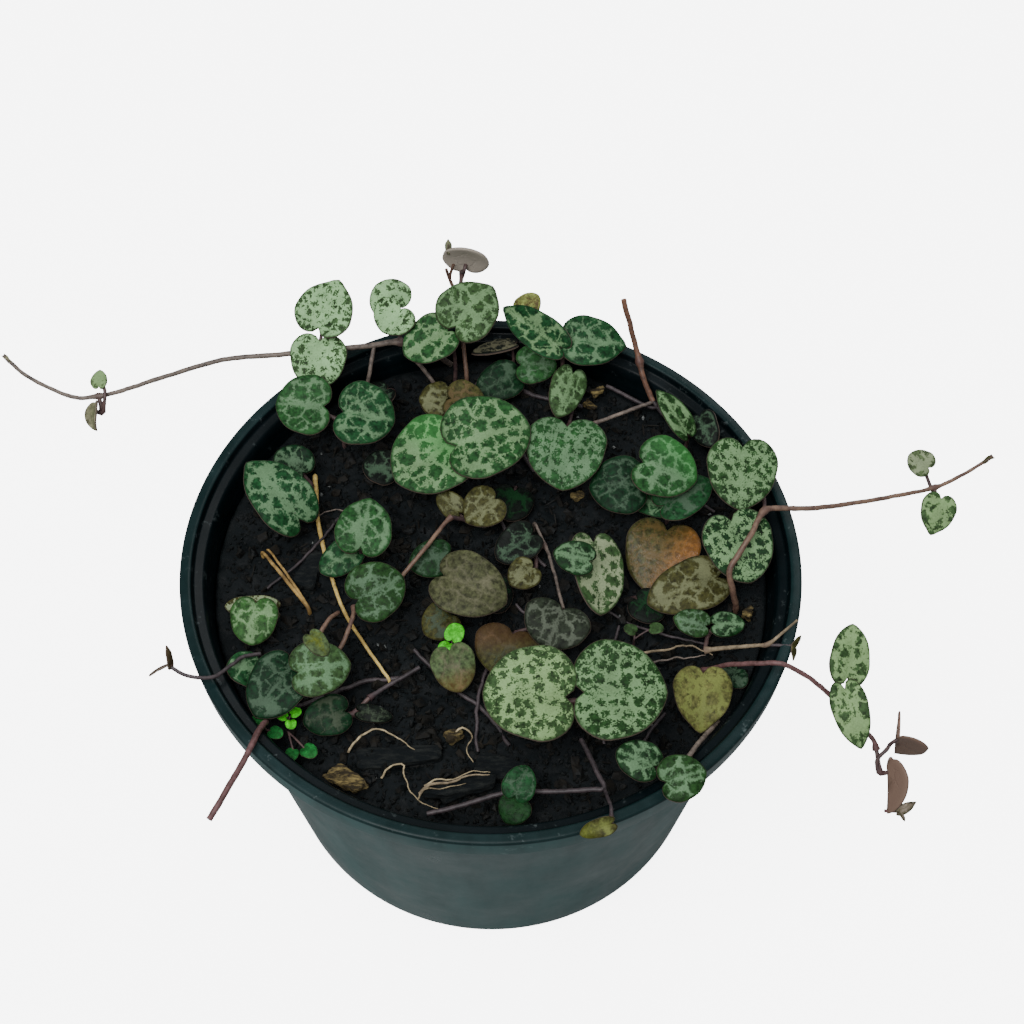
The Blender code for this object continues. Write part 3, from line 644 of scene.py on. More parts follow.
# %% The table of looks
LEAF_COLOURS = {name: linear(code) for name, code in {
    # dark pads
    "pit": "060a07", "ivy": "05190b", "holly": "0a1e0c", "bottle": "0c2813", "pine": "12260f",
    "moss": "142f15", "fern": "1f3019", "olive": "2d3822", "umber": "262611", "moor": "2a2c1c",
    "peat": "151a12", "bracken": "3a3b1e", "russet": "4a3d22", "leafy": "1c3517", "tobacco": "2c2519",
    # pale nets
    "silver": "739569", "grey": "6b765a", "celery": "667f54", "sage": "57714e", "celadon": "4a6448",
    "jade": "405640", "slate": "324434", "dusk": "2d3629", "khaki": "54573e", "mustard": "575d30",
    "clay": "453b25", "ash": "41473c",
    # old leaves and seedlings
    "drab": "504f3d", "fawn": "7a6f64", "rose": "7d6357", "lemon": "525a19", "lime": "2f8018",
    "clover": "12401a",
}.items()}
# Flushes, which lie over a part of a leaf.  The bright green one is painted light, a lighter patch where
# light falls on the leaf; the rust and the brown are the leaf's own colour.
PAINTED_LIGHT_GREEN, RUST, BROWN = linear("2f7433"), linear("6c4318"), linear("3f2d1c")
LOOKS = {
    "leaves_silver_back_left": [("silver", "fern", "silver"), ("silver", "fern", "silver", {"Tip": 0.08})],
    "leaves_silver_small_back": [("silver", "fern", "silver"), ("silver", "fern", "silver")],
    "leaves_mottled_back": [("mottled", "moss", "sage"), ("mottled", "fern", "sage", {"Tip": 0.06})],
    "leaves_folded_back_right": [("netted", "bottle", "sage", {"Fold": 0.5, "Tip": 0.08}),
                                 ("netted", "bottle", "celadon", {"Tip": 0.08})],
    # Its paler underside is painted light, as if lit through the leaf.
    "leaf_shoot_back": [("painted-backlight", "drab", "grey", {"Dome": 0.2, "Wave": 0.1})],
    "leaves_netted_left": [("netted", "moss", "celadon"), ("netted", "bottle", "celadon")],
    "leaves_netted_outer_left": [("mottled", "bottle", "celadon", {"Tip": 0.06, "Curl": -0.4}),
                                 ("netted", "ivy", "jade")],
    "leaves_olive_back": [("netted", "umber", "khaki"), ("netted", "umber", "clay")],
    "leaves_dark_back": [("dim", "ivy", "slate"), ("dim", "moss", "jade")],
    # The first leaf's bright green flush is painted light.
    "leaves_mottled_middle": [("mottled", "moss", "sage",
                               {"Flush": PAINTED_LIGHT_GREEN, "Flushed": 0.4, "Flush_Turn": -2.8}),
                              ("mottled", "moss", "sage")],
    "leaves_mottled_right": [("freckled", "moss", "celadon"), ("netted", "fern", "sage")],
    "leaves_folded_right": [("netted", "pine", "sage", {"Fold": 0.7, "Tip": 0.08}),
                            ("dim", "pit", "slate")],
    # The second leaf's bright green flush is painted light.
    "leaves_vivid_right": [("dim", "ivy", "slate"),
                           ("netted", "moss", "celadon", {"Flush": PAINTED_LIGHT_GREEN, "Flushed": 0.35,
                                                          "Flush_Turn": 1.2})],
    "leaves_silver_right": [("freckled", "holly", "sage"), ("freckled", "pine", "sage")],
    "leaves_dark_right": [("netted", "bottle", "celadon"), ("dim", "bottle", "slate", {"Tip": 0.05})],
    "leaf_bronze_right": [("wet", "umber", "russet", {"Flush": RUST, "Flushed": 0.75, "Flush_Turn": 1.3,
                                                       "Wave": 0.9})],
    "leaf_olive_right": [("netted", "umber", "khaki")],
    "leaves_dark_small_right": [("netted", "pine", "jade"), ("netted", "holly", "celadon")],
    "leaf_yellow_olive_right": [("mottled", "bracken", "mustard", {"Wave": 0.8, "Tip": 0.1})],
    "leaves_grey_middle_right": [("netted", "holly", "celadon"), ("mottled", "fern", "grey")],
    "leaves_yellowed_middle": [("dim", "pit", "slate"), ("netted", "umber", "khaki")],
    "leaves_olive_middle": [("dim", "umber", "khaki"), ("netted", "umber", "khaki", {"Tip": 0.05})],
    "leaf_dark_middle": [("dim", "holly", "slate")],
    "leaf_plain_middle": [("plain", "moor", "drab", {"Dome": 0.9})],
    "leaves_bronze_middle": [("plain", "umber", "dusk", {"Flush": BROWN, "Flushed": 0.8, "Flush_Turn": -2.5}),
                             ("netted", "peat", "ash")],
    "leaves_bronze_small": [("dim", "umber", "dusk"),
                            ("plain", "olive", "drab", {"Flush": RUST, "Flushed": 0.3})],
    "leaves_netted_middle_left": [("dim", "bottle", "celadon"), ("netted", "moss", "celadon", {"Tip": 0.05})],
    "leaf_netted_fork_left": [("netted", "pine", "jade")],
    "leaves_olive_left": [("silver", "umber", "grey", {"Wave": 0.5}), ("netted", "leafy", "sage")],
    "leaf_netted_rim_left": [("netted", "bottle", "celadon")],
    "leaves_netted_front_left": [("netted", "ivy", "slate"), ("netted", "fern", "celadon")],
    "leaves_dark_front_left": [("dim", "ivy", "dusk"), ("dim", "pit", "dusk")],
    "leaves_silver_front": [("freckled", "fern", "celery", {"Notch": -0.02}),
                            ("freckled", "pine", "sage", {"Notch": -0.02})],
    "leaves_dark_front": [("dim", "holly", "moss"), ("dim", "bottle", "slate")],
    "leaves_netted_front_right": [("netted", "holly", "celadon"), ("netted", "pine", "celadon")],
    "leaf_withered_front": [("plain", "umber", "mustard",
                             {"Wave": 0.6, "Dome": 0.2, "Flush": LEAF_COLOURS["lemon"], "Flushed": 0.5})],
    "leaves_runner_left": [("plain", "drab", "khaki", {"Fold": 0.6}), ("mottled", "olive", "celery")],
    "leaves_runner_right": [("mottled", "olive", "grey"), ("mottled", "fern", "celery", {"Tip": 0.08})],
    "leaves_runner_low_first": [("mottled", "fern", "celery", {"Tip": 0.05}), ("mottled", "fern", "celery")],
    "leaves_runner_low_last": [("rosy", "rose", "fawn", {"Fold": 0.6}),
                               ("rosy", "rose", "fawn", {"Fold": 0.7})],
}

# %% [markdown]
# ## Vine bark
# The vines' thin bark is smooth when young, pinkish purple, and turns to grey-brown cork.  Long
# streaks run along it, and the joints are darker.  Small noise on Object coordinates is enough,
# because a stem a millimetre thick shows only specks.

# %% Bark finishes
def bark_material(name, dark, pale, roughness=0.55):
    """Thin vine bark with specks and patches of two colours."""
    material, tree, shader = new_material(name, Roughness=roughness, Specular_IOR_Level=0.3)
    place = put(tree, "ShaderNodeTexCoord", out="Object")
    fine = put(tree, "ShaderNodeTexNoise", {"Vector": place, "Scale": 900.0, "Detail": 3.0})
    broad = put(tree, "ShaderNodeTexNoise", {"Vector": place, "Scale": 130.0, "Detail": 2.0})
    blend = put(tree, M + "MULTIPLY", [put(tree, M + "ADD", [fine, broad]), 0.5])
    blend = put(tree, "ShaderNodeMapRange", {"Value": blend, "From Min": 0.38, "From Max": 0.62})
    colour = put(tree, "ShaderNodeMix", {0: blend, "A": linear(dark), "B": linear(pale)}, out=2,
                 data_type="RGBA")
    knuckle = put(tree, "ShaderNodeAttribute", out="Fac", attribute_name="swell")
    knuckle = put(tree, M + "MULTIPLY", [knuckle, 0.6], use_clamp=True)
    colour = put(tree, "ShaderNodeMix", {0: knuckle, "A": colour, "B": linear("3a2424")}, out=2,
                 data_type="RGBA")
    tree.links.new(colour, shader.inputs["Base Color"])
    bump = put(tree, "ShaderNodeBump", {"Height": fine, "Distance": 0.0001, "Strength": 0.6})
    tree.links.new(bump, shader.inputs["Normal"])
    return material


BARK = {
    "grey": bark_material("grey vine bark", "3a332f", "665b52"),
    "pink": bark_material("young pink vine bark", "44312a", "665142"),
    "purple": bark_material("purple vine bark", "3a2422", "5c4040"),
    "dark": bark_material("dark old vine bark", "1c1719", "383032"),
    "brown": bark_material("brown corky vine bark", "3b2a22", "644636"),
    "dry": bark_material("dead dry twig", "4d4334", "7d6f59", 0.8),
    "straw": bark_material("dry straw", "7d6836", "b09a5c", 0.7),
    "straw-old": bark_material("old damp straw", "4f3c1c", "937845", 0.7),
    "stalk": bark_material("leaf stalk skin", "2c2022", "4c3b38"),
}

# %% [markdown]
# ## The pot
# The pot is polypropylene moulded thin: a cone with a turned-down collar, a rounded lip, and
# faint rings round the inside.  It is a shape turned about an axis, so its tree takes only the
# outline of one side and lays a grid over it: one way of the grid follows the outline and the
# other goes round.

# %% The lathe tree
lathe_tree, given = new_tree("lathe", Outline="Geometry", Points="Int", Steps="Int", Lip_From="Float",
                             Outside_From="Float", Material="Material")
t = lathe_tree
grid = put(t, "GeometryNodeMeshGrid", {"Vertices X": given["Points"], "Size X": 1.0, "Size Y": 1.0,
                                       "Vertices Y": put(t, M + "ADD", [given["Steps"], 1.0])})
start = put(t, "ShaderNodeSeparateXYZ", {0: put(t, "GeometryNodeInputPosition")}).node.outputs
last_point = put(t, M + "SUBTRACT", [given["Points"], 1.0])
number = put(t, M + "MULTIPLY_ADD", [put(t, M + "ADD", [start["X"], 0.5]), last_point, 0.01])
spot = put(t, "GeometryNodeSampleIndex", {"Geometry": given["Outline"], "Index": number,
                                          "Value": put(t, "GeometryNodeInputPosition")},
           data_type="FLOAT_VECTOR")
along = put(t, M + "ADD", [start["X"], 0.5])
# outside is 0 on the inner face, a half on the lip and 1 on the outer face; the plastic uses it to paint
# shade on the inner face and the lip.
outside = put(t, M + "ADD", [put(t, M + "GREATER_THAN", [along, given["Lip From"]]),
                             put(t, M + "GREATER_THAN", [along, given["Outside From"]])])
outside = put(t, M + "MULTIPLY", [outside, 0.5])
grid = put(t, "GeometryNodeStoreNamedAttribute", {"Geometry": grid, "Name": "outside", "Value": outside},
           data_type="FLOAT", domain="POINT")
angle = put(t, M + "MULTIPLY", [start["Y"], -2 * math.pi])
spot = put(t, "ShaderNodeVectorRotate", {"Vector": spot, "Angle": angle}, rotation_type="Z_AXIS")
shell = put(t, "GeometryNodeSetPosition", {"Geometry": grid, "Position": spot})
shell = put(t, "GeometryNodeMergeByDistance", {"Geometry": shell, "Distance": 0.001})
shell = put(t, "GeometryNodeSetShadeSmooth", {"Geometry": shell})
close_tree(t, shell, given["Material"])

# %% Pot plastic
# Dark polypropylene has a soft gloss.  The pot is used, so it has pale scuffs near the rim and
# faint streaks that run down the wall.  The inner face is painted far darker than the outer, painted
# shade for the shade down inside the pot, and the lip lies between the two.  Low on the outer wall
# a paler bloom is dust in part and in part painted light thrown up from the floor.
plastic, tree, shader = new_material("moulded polypropylene", Roughness=0.4, IOR=1.49, Specular_IOR_Level=0.1)
place = put(tree, "ShaderNodeTexCoord", out="Object")
spot = put(tree, "ShaderNodeSeparateXYZ", {0: place}).node.outputs
bloom = put(tree, "ShaderNodeTexNoise", {"Vector": place, "Scale": 35.0, "Detail": 5.0, "Roughness": 0.65})
streak_place = put(tree, "ShaderNodeMapping", {"Vector": place, "Scale": (140.0, 140.0, 16.0)})
streaks = put(tree, "ShaderNodeTexNoise", {"Vector": streak_place, "Scale": 1.0, "Detail": 4.0})
wear = put(tree, M + "MULTIPLY", [bloom, streaks])
wear = put(tree, "ShaderNodeMapRange", {"Value": wear, "From Min": 0.2, "From Max": 0.42})
# Painted shade: the inner face gets a near-black copy of the plastic's colour, and the outer face the
# plastic's own colour.
inner = put(tree, "ShaderNodeMix", {0: wear, "A": linear("02080a"), "B": linear("060e11")}, out=2,
            data_type="RGBA")
outer = put(tree, "ShaderNodeMix", {0: wear, "A": linear("1b3635"), "B": linear("2c4a49")}, out=2,
            data_type="RGBA")
outside = put(tree, "ShaderNodeAttribute", out="Fac", attribute_name="outside")
outside = put(tree, "ShaderNodeMapRange", {"Value": outside, "From Min": 0.36})
colour = put(tree, "ShaderNodeMix", {0: outside, "A": inner, "B": outer}, out=2, data_type="RGBA")
# Paler low on the wall: dust in part, and in part painted light thrown up from the floor.
low = put(tree, "ShaderNodeMapRange", {"Value": spot["Z"], "From Min": 0.085, "From Max": 0.0})
dust_and_floor_light = put(tree, M + "MULTIPLY", [low, put(tree, M + "MULTIPLY", [bloom, 0.7])])
colour = put(tree, "ShaderNodeMix", {0: dust_and_floor_light, "A": colour, "B": linear("3a5453")}, out=2, data_type="RGBA")
rim_zone = put(tree, "ShaderNodeMapRange", {"Value": spot["Z"], "From Min": 0.080, "From Max": 0.097})
scuff = put(tree, "ShaderNodeTexNoise", {"Vector": place, "Scale": 260.0, "Detail": 5.0, "Roughness": 0.75})
scuff = put(tree, "ShaderNodeMapRange", {"Value": scuff, "From Min": 0.6, "From Max": 0.76, "To Max": 0.45})
scuff = put(tree, M + "MULTIPLY", [scuff, put(tree, M + "MULTIPLY", [rim_zone, bloom])])
colour = put(tree, "ShaderNodeMix", {0: scuff, "A": colour, "B": linear("8a9696")}, out=2, data_type="RGBA")
tree.links.new(colour, shader.inputs["Base Color"])
gloss = put(tree, "ShaderNodeMapRange", {"Value": bloom, "From Min": 0.3, "From Max": 0.7, "To Min": 0.26,
                                         "To Max": 0.5})
tree.links.new(gloss, shader.inputs["Roughness"])
scratches = put(tree, "ShaderNodeBump", {"Height": streaks, "Distance": 0.0002, "Strength": 0.25})
tree.links.new(scratches, shader.inputs["Normal"])

# %% Turn the pot
WALL, FLOOR_THICK, COLLAR, LIP = 1.4, 1.8, 6.8, 2.3
WALL_TOP_RADIUS, WALL_TOP_Z = 71.2, 94.4
RING_PITCH, RING_DEPTH, RINGS_FROM_Z = 2.5, 0.14, 62
POT_STEPS = 192

pot_low, pot_high = [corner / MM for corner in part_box("pot")]
rim_radius = (pot_high.x - pot_low.x) / 2
foot_radius = max(v.co.xy.length for v in frame["nodes"]["pot"].data.vertices if v.co.z < 3 * MM) / MM
print(f"pot: rim radius {rim_radius:.1f}, foot radius {foot_radius:.1f}, height {pot_high.z:.1f} mm")


def inner_radius(z):
    """The radius of the wall's inner face at a height in mm."""
    slope = (WALL_TOP_RADIUS - foot_radius) / (WALL_TOP_Z - 2 * FLOOR_THICK)
    return foot_radius - WALL + slope * (z - 2 * FLOOR_THICK)


def rounded(corners, steps=5):
    """An outline whose corners, given as (radius, height, fillet), are rounded."""
    outline = []
    for before, (r, z, fillet), after in zip([corners[0]] + corners, corners, corners[1:] + [corners[-1]]):
        corner = Vector((r, 0, z))
        if not fillet:
            outline.append(corner)
            continue
        come = (Vector((before[0], 0, before[1])) - corner).normalized() * fillet
        leave = (Vector((after[0], 0, after[1])) - corner).normalized() * fillet
        for s in (i / steps for i in range(steps + 1)):
            outline.append(corner + come * (1 - s) ** 2 + leave * s ** 2)
    return outline


ring_count = round((WALL_TOP_Z - RINGS_FROM_Z) / RING_PITCH)
ring_corners = []
for number in range(ring_count * 4):
    z = RINGS_FROM_Z + number * RING_PITCH / 4
    ring_corners.append((inner_radius(z) - RING_DEPTH * (1 - math.cos(math.pi * number / 2)) / 2, z, 0))
throat = rim_radius - 0.5 - LIP
corners = [
    (0.0, FLOOR_THICK, 0), (inner_radius(FLOOR_THICK), FLOOR_THICK, 2.0), *ring_corners,
    (inner_radius(WALL_TOP_Z), WALL_TOP_Z, 0.3), (WALL_TOP_RADIUS - 0.8, WALL_TOP_Z + 1.2, 0.5),
    (throat - 0.6, WALL_TOP_Z + 1.8, 0.4), (throat, rim_top, 0.8), (rim_radius, rim_top, 1.0),
    (rim_radius - 0.6, rim_top - COLLAR, 0.35), (rim_radius - 1.8, rim_top - COLLAR, 0.35),
    (rim_radius - 1.5, WALL_TOP_Z + 1.2, 0.3), (WALL_TOP_RADIUS, WALL_TOP_Z, 0.3),
    (foot_radius, FLOOR_THICK + 0.8, 1.0), (foot_radius - 1.2, 0.0, 0.8), (0.0, 0.0, 0)]
outline = rounded(corners)
widest = max(range(len(outline)), key=lambda i: outline[i].x)
lip = next(i for i, point in enumerate(outline) if point.z > rim_top - 0.3)
pot_mesh = grow("pot_wall", lathe_tree, polyline(outline), Points=len(outline), Steps=POT_STEPS,
                Lip_From=lip / len(outline), Outside_From=widest / len(outline), Material=plastic)

DRAIN_HOLES, DRAIN_RADIUS, DRAIN_CIRCLE = 6, 4.0, 44.0
drill = bmesh.new()
for number in range(DRAIN_HOLES):
    turned = Matrix.Rotation(2 * math.pi * number / DRAIN_HOLES, 4, "Z")
    bmesh.ops.create_cone(drill, cap_ends=True, segments=32, radius1=DRAIN_RADIUS, radius2=DRAIN_RADIUS,
                          depth=12, matrix=turned @ Matrix.Translation((DRAIN_CIRCLE, 0, 0)))
drill_mesh = bpy.data.meshes.new("drill")
drill.to_mesh(drill_mesh)
drill.free()
cutter = bpy.data.objects.new("drill", drill_mesh)
blank = bpy.data.objects.new("pot_blank", pot_mesh)
for thing in (cutter, blank):
    bpy.context.scene.collection.objects.link(thing)
cut = blank.modifiers.new("drain holes", "BOOLEAN")
cut.operation, cut.solver, cut.object = "DIFFERENCE", "EXACT", cutter
pot_mesh = bpy.data.meshes.new_from_object(blank.evaluated_get(bpy.context.evaluated_depsgraph_get()))
for thing in (cutter, blank):
    bpy.data.objects.remove(thing)
show("pot_moulded", [pot_mesh], "pot_plastic", "pot")

# %% [markdown]
# ## The soil
# Peat and composted bark, wet and nearly black, and painted darker still: painted shade for the
# shade down inside the pot.  The surface is uneven at every scale: slow humps, lumps of a few
# millimetres, and crumbs.  A fine disc takes the CAD soil's height by looking straight down on it
# and adds noise of three sizes.  The crumbs are scattered over it by a Geometry Nodes tree, because
# thousands of the same few-sided grain are exactly its work.

# %% Soil finishes
def soil_material(name, dark, pale, scale=300.0, roughness=0.9):
    """Damp peat: specks of two colours, matt with a few damp glints."""
    material, tree, shader = new_material(name, Roughness=roughness, Specular_IOR_Level=0.12)
    place = put(tree, "ShaderNodeTexCoord", out="Object")
    specks = put(tree, "ShaderNodeTexNoise", {"Vector": place, "Scale": scale, "Detail": 6.0,
                                              "Roughness": 0.7})
    blend = put(tree, "ShaderNodeMapRange", {"Value": specks, "From Min": 0.35, "From Max": 0.7})
    colour = put(tree, "ShaderNodeMix", {0: blend, "A": linear(dark), "B": linear(pale)}, out=2,
                 data_type="RGBA")
    tree.links.new(colour, shader.inputs["Base Color"])
    damp = put(tree, "ShaderNodeMapRange", {"Value": specks, "From Min": 0.4, "From Max": 0.65,
                                            "To Min": roughness - 0.35, "To Max": roughness})
    tree.links.new(damp, shader.inputs["Roughness"])
    bump = put(tree, "ShaderNodeBump", {"Height": specks, "Distance": 0.0006, "Strength": 0.9})
    tree.links.new(bump, shader.inputs["Normal"])
    return material


# These peat, crumb and bark colours are darker than damp peat alone: partly painted shade for the shade
# inside the pot.
PEAT = soil_material("wet peat", "020506", "0a0f11")
CRUMB = soil_material("peat crumbs", "04080a", "11110f", scale=420.0)
BARK_BITS = soil_material("composted bark", "060a0c", "1a1712", scale=260.0)
PERLITE = soil_material("perlite", "3a3c3c", "6b6e6c", scale=900.0, roughness=0.8)

# %% The soil surface
SOIL_RINGS, SOIL_SIDES = 96, 240
SOIL_GAP = 2.0  # between the unseen foot of the soil and the wall
soil_low, soil_high = [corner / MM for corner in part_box("soil")]
shell = welded("soil")
heights = BVHTree.FromBMesh(shell)
soil_radius = max(v.co.xy.length for v in shell.verts)


def soil_z(x, y):
    """Height of the finished soil surface in mm."""
    reach = min(1.0, (soil_radius - 1.0) / max(math.hypot(x, y), 0.1))
    hit = heights.ray_cast(Vector((x * reach, y * reach, 200)), Vector((0, 0, -1)))[0]
    place = Vector((x, y, 0))
    lumps = 0.9 * noise.noise(place / 9) + 0.8 * noise.noise(place / 3.4) + 0.35 * noise.noise(place / 1.3)
    return hit.z + lumps - 0.2


bed = bmesh.new()
centre = bed.verts.new((0, 0, soil_z(0, 0)))
rings = []
for ring_number in range(1, SOIL_RINGS + 1):
    r = soil_radius * ring_number / SOIL_RINGS
    ring_verts = []
    for k in range(SOIL_SIDES):
        a = 2 * math.pi * k / SOIL_SIDES
        x, y = r * math.cos(a), r * math.sin(a)
        ring_verts.append(bed.verts.new((x, y, soil_z(x, y))))
    rings.append(ring_verts)
foot = []
for k in range(SOIL_SIDES):
    a = 2 * math.pi * k / SOIL_SIDES
    r = inner_radius(soil_low.z) - SOIL_GAP
    foot.append(bed.verts.new((r * math.cos(a), r * math.sin(a), soil_low.z)))
rings.append(foot)
for k in range(SOIL_SIDES):
    after = (k + 1) % SOIL_SIDES
    bed.faces.new((centre, rings[0][k], rings[0][after]))
    for inner, outer in zip(rings, rings[1:]):
        bed.faces.new((inner[k], outer[k], outer[after], inner[after]))
bed.faces.new(list(reversed(foot)))
for face in bed.faces:
    face.smooth = True
bed_mesh = bpy.data.meshes.new("soil_bed")
bed.to_mesh(bed_mesh)
bed.free()
shell.free()
bed_mesh.materials.append(PEAT)
top_mesh = bed_mesh.copy()
show("soil_bed", [bed_mesh], "soil", "soil")
print("soil radius", round(soil_radius, 1), "mm, top about", round(soil_high.z, 1), "mm")

# %% The crumb tree
BED_TOP_FROM_Z = 80.0  # below it are only the bed's side and foot, which carry no crumbs
crumb_tree, given = new_tree(
    "scattered crumbs", Surface="Geometry", Radius="Float", Density="Float", Smallest="Float",
    Largest="Float", Stretch="Float", Facets="Int", Rise="Float", Seed="Int", Material="Material")
t = crumb_tree
spot = put(t, "GeometryNodeInputPosition")
split = put(t, "ShaderNodeSeparateXYZ", {0: spot}).node.outputs
flat_spot = put(t, "ShaderNodeCombineXYZ", {"X": split["X"], "Y": split["Y"]})
away = put(t, V + "LENGTH", [flat_spot], out="Value")
near = put(t, M + "LESS_THAN", [away, given["Radius"]])
high = put(t, M + "GREATER_THAN", [split["Z"], BED_TOP_FROM_Z])
chosen = put(t, M + "MULTIPLY", [near, high])
points = put(t, "GeometryNodeDistributePointsOnFaces",
             {"Mesh": given["Surface"], "Selection": chosen, "Density": given["Density"],
              "Seed": given["Seed"]})
points = put(t, "GeometryNodeSetPosition", {"Geometry": points,
                                            "Offset": put(t, "ShaderNodeCombineXYZ", {"Z": given["Rise"]})})
grain = put(t, "GeometryNodeMeshIcoSphere", {"Radius": 0.5, "Subdivisions": given["Facets"]})
dent = put(t, "ShaderNodeTexNoise", {"Scale": 1.7, "Detail": 1.0}, out="Color")
dent = put(t, V + "SUBTRACT", [dent, (0.5, 0.5, 0.5)])
grain = put(t, "GeometryNodeSetPosition", {"Geometry": grain, "Offset": dent})
spin = put(t, "FunctionNodeRandomValue", {"Max": (6.3, 6.3, 6.3), "Seed": 3}, data_type="FLOAT_VECTOR")
spin = put(t, "FunctionNodeEulerToRotation", {0: spin})
size = put(t, "FunctionNodeRandomValue", {2: given["Smallest"], 3: given["Largest"], "Seed": 5}, out=1,
           data_type="FLOAT")
narrow = put(t, "FunctionNodeRandomValue", {2: 0.45, 3: 1.0, "Seed": 7}, out=1, data_type="FLOAT")
sizes = put(t, "ShaderNodeCombineXYZ", {"X": put(t, M + "MULTIPLY", [size, given["Stretch"]]), "Y": size,
                                        "Z": put(t, M + "MULTIPLY", [size, narrow])})
crumbs = put(t, "GeometryNodeInstanceOnPoints", {"Points": points, "Instance": grain, "Rotation": spin,
                                                 "Scale": sizes})
close_tree(t, crumbs, given["Material"])

# %% Scatter the crumbs
SCATTERS = {
    "soil_crumbs_fine": dict(Density=0.42, Smallest=0.5, Largest=1.4, Stretch=1.2, Facets=1, Rise=0.1,
                             Seed=11, Material=CRUMB),
    "soil_crumbs_coarse": dict(Density=0.06, Smallest=1.4, Largest=3.4, Stretch=1.5, Facets=1, Rise=0.1,
                               Seed=12, Material=BARK_BITS),
    "soil_fibres": dict(Density=0.02, Smallest=0.35, Largest=0.7, Stretch=9.0, Facets=1, Rise=0.5, Seed=13,
                        Material=BARK_BITS),
    "soil_perlite": dict(Density=0.003, Smallest=0.6, Largest=1.3, Stretch=1.1, Facets=1, Rise=0.4, Seed=14,
                         Material=PERLITE),
}
for name, values in SCATTERS.items():
    edge = soil_radius - 0.7 * values["Largest"] * values["Stretch"] - 0.3
    mesh = grow(name, crumb_tree, top_mesh.copy(), Radius=edge, **values)
    print(name, len(mesh.polygons), "faces")
    show(name, [mesh], "soil")

# %% [markdown]
# ## Reading the vines
# A CAD vine is a plain tube, so the middle of each of its rings is found by stepping one radius
# inward from every corner.  The ring middles are then joined to their nearest neighbours like
# beads: the longest string of beads is the main stem and the others are side shoots.

# %% Centrelines of the vines
LEAP_COST = 6.0


def bead_strings(beads, joined):
    """The longest chain through the beads first, then each side chain, which starts on it."""
    def cost(pair):
        return (beads[pair[0]] - beads[pair[1]]).length * (1.0 if pair in joined else LEAP_COST)

    links = {0: []}
    while len(links) < len(beads):
        a, b = min(((i, j) for i in links for j in range(len(beads)) if j not in links), key=cost)
        links[a].append(b)
        links[b] = [a]

    def farthest(start, closed):
        best, edge = ([start], 0.0), [([start], 0.0)]
        while edge:
            chain, length = edge.pop()
            if length > best[1]:
                best = (chain, length)
            for near in links[chain[-1]]:
                if near not in chain and near not in closed:
                    edge.append((chain + [near], length + (beads[near] - beads[chain[-1]]).length))
        return best[0]

    chains = [farthest(farthest(0, set())[-1], set())]
    used = set(chains[0])
    while len(used) < len(beads):
        root = next(i for i in used if any(n not in used for n in links[i]))
        branch = farthest(next(n for n in links[root] if n not in used), used)
        chains.append([root] + branch)
        used |= set(branch)
    return [[beads[i] for i in chain] for chain in chains if len(chain) > 2]


vine_nodes = [n for n in frame["nodes"] if n.startswith(("vine_", "twig_", "straw_"))]
vines = {}
for node in vine_nodes:
    shell = welded(node)
    vines[node] = bead_strings(*ring_middles(shell.verts, VINE_RADIUS.get(node, PLAIN_VINE_RADIUS)))
    print(node, [len(chain) for chain in vines[node]], "points")
    shell.free()

# %% Joints, where leaf stalks meet a vine
JOINT_REACH = 7.0
joints, sprigs = {node: [] for node in vines}, {}
for node in leaf_nodes:
    route = stalks[node]
    inner = route[1:-1] if len(route) > 2 else route[-1:]
    crotch = min(inner, key=lambda p: p.z) if node.startswith("leaves") else route[-1]
    spots = ((vine, spot) for vine, chains in vines.items() if not vine.startswith("straw")
             for chain in chains for spot in smooth_route(chain))
    vine, spot = min(spots, key=lambda pair: (pair[1] - crotch).length)
    if (spot - crotch).length < JOINT_REACH:
        joints[vine].append(spot)
        sprigs[node] = [crotch, spot]
    elif crotch.z > soil_z(crotch.x, crotch.y) + 1:
        foot = Vector((crotch.x * 0.97, crotch.y * 0.97 - 1.0, 0))
        foot.z = soil_z(foot.x, foot.y) - 2.0
        sprigs[node] = [crotch, (crotch + foot) / 2 + Vector((0.4, 0.3, 0)), foot]
print("joints:", {v: len(p) for v, p in joints.items() if p})

# %% Grow the vines
VINE_BARK = {"vine_runner_left": "grey", "vine_runner_right": "pink", "vine_runner_low": "purple",
             "vine_shoot_back": "pink", "vine_stub_back_right": "brown grey dark",
             "vine_stub_front_left": "purple", "vine_tendril_left": "dark", "twig_dry_right": "dry",
             "vine_middle": "pink", "vine_front": "dark", "vine_front_right": "grey",
             "vine_front_left": "dark", "vine_fork_left": "pink", "vine_thin_middle": "grey",
             "straw_long": "straw", "straw_short": "straw-old"}
VINE_SLIM = {"straw_long": 0.85, "vine_tendril_left": 0.8, "vine_runner_left": 1.15,
             "vine_runner_right": 1.25}
PLAIN_SLIM, SIDE_SHOOT_SLIM = 0.92, 0.7
VINE_TAPER = {"straw_long": 0.6, "straw_short": 0.7}
# These thin out towards the end that lies farthest from the pot's axis.
OUTWARD_TAPER = {"vine_runner_left": 0.65, "vine_runner_right": 0.55, "twig_dry_right": 0.5}
VINE_KNOTS = {"vine_stub_back_right": (-4,)}
# The cut stub stands on an older and thinner vine, so the two are grown apart.
stub = vines["vine_stub_back_right"]
stub[:1] = [stub[0][4:], stub[0][:5]]
# The tendril forks before its end, and its last stretch is a closed leaf.
tendril = vines["vine_tendril_left"][0]
tendril_tip = tendril.pop(tendril.index(min(tendril, key=lambda p: p.x)))
# The shoot's leaf stands straight on its vine.
vines["vine_shoot_back"][0] = vines["vine_shoot_back"][0][:5]
sprigs["leaf_shoot_back"] = [sprigs["leaf_shoot_back"][0], vines["vine_shoot_back"][0][-1]]


def sharpest_bend(chain):
    """The point of a chain where it turns the most."""
    turns = [(there - here).angle(here - before, 0.0)
             for before, here, there in zip(chain, chain[1:], chain[2:])]
    return chain[1 + turns.index(max(turns))]


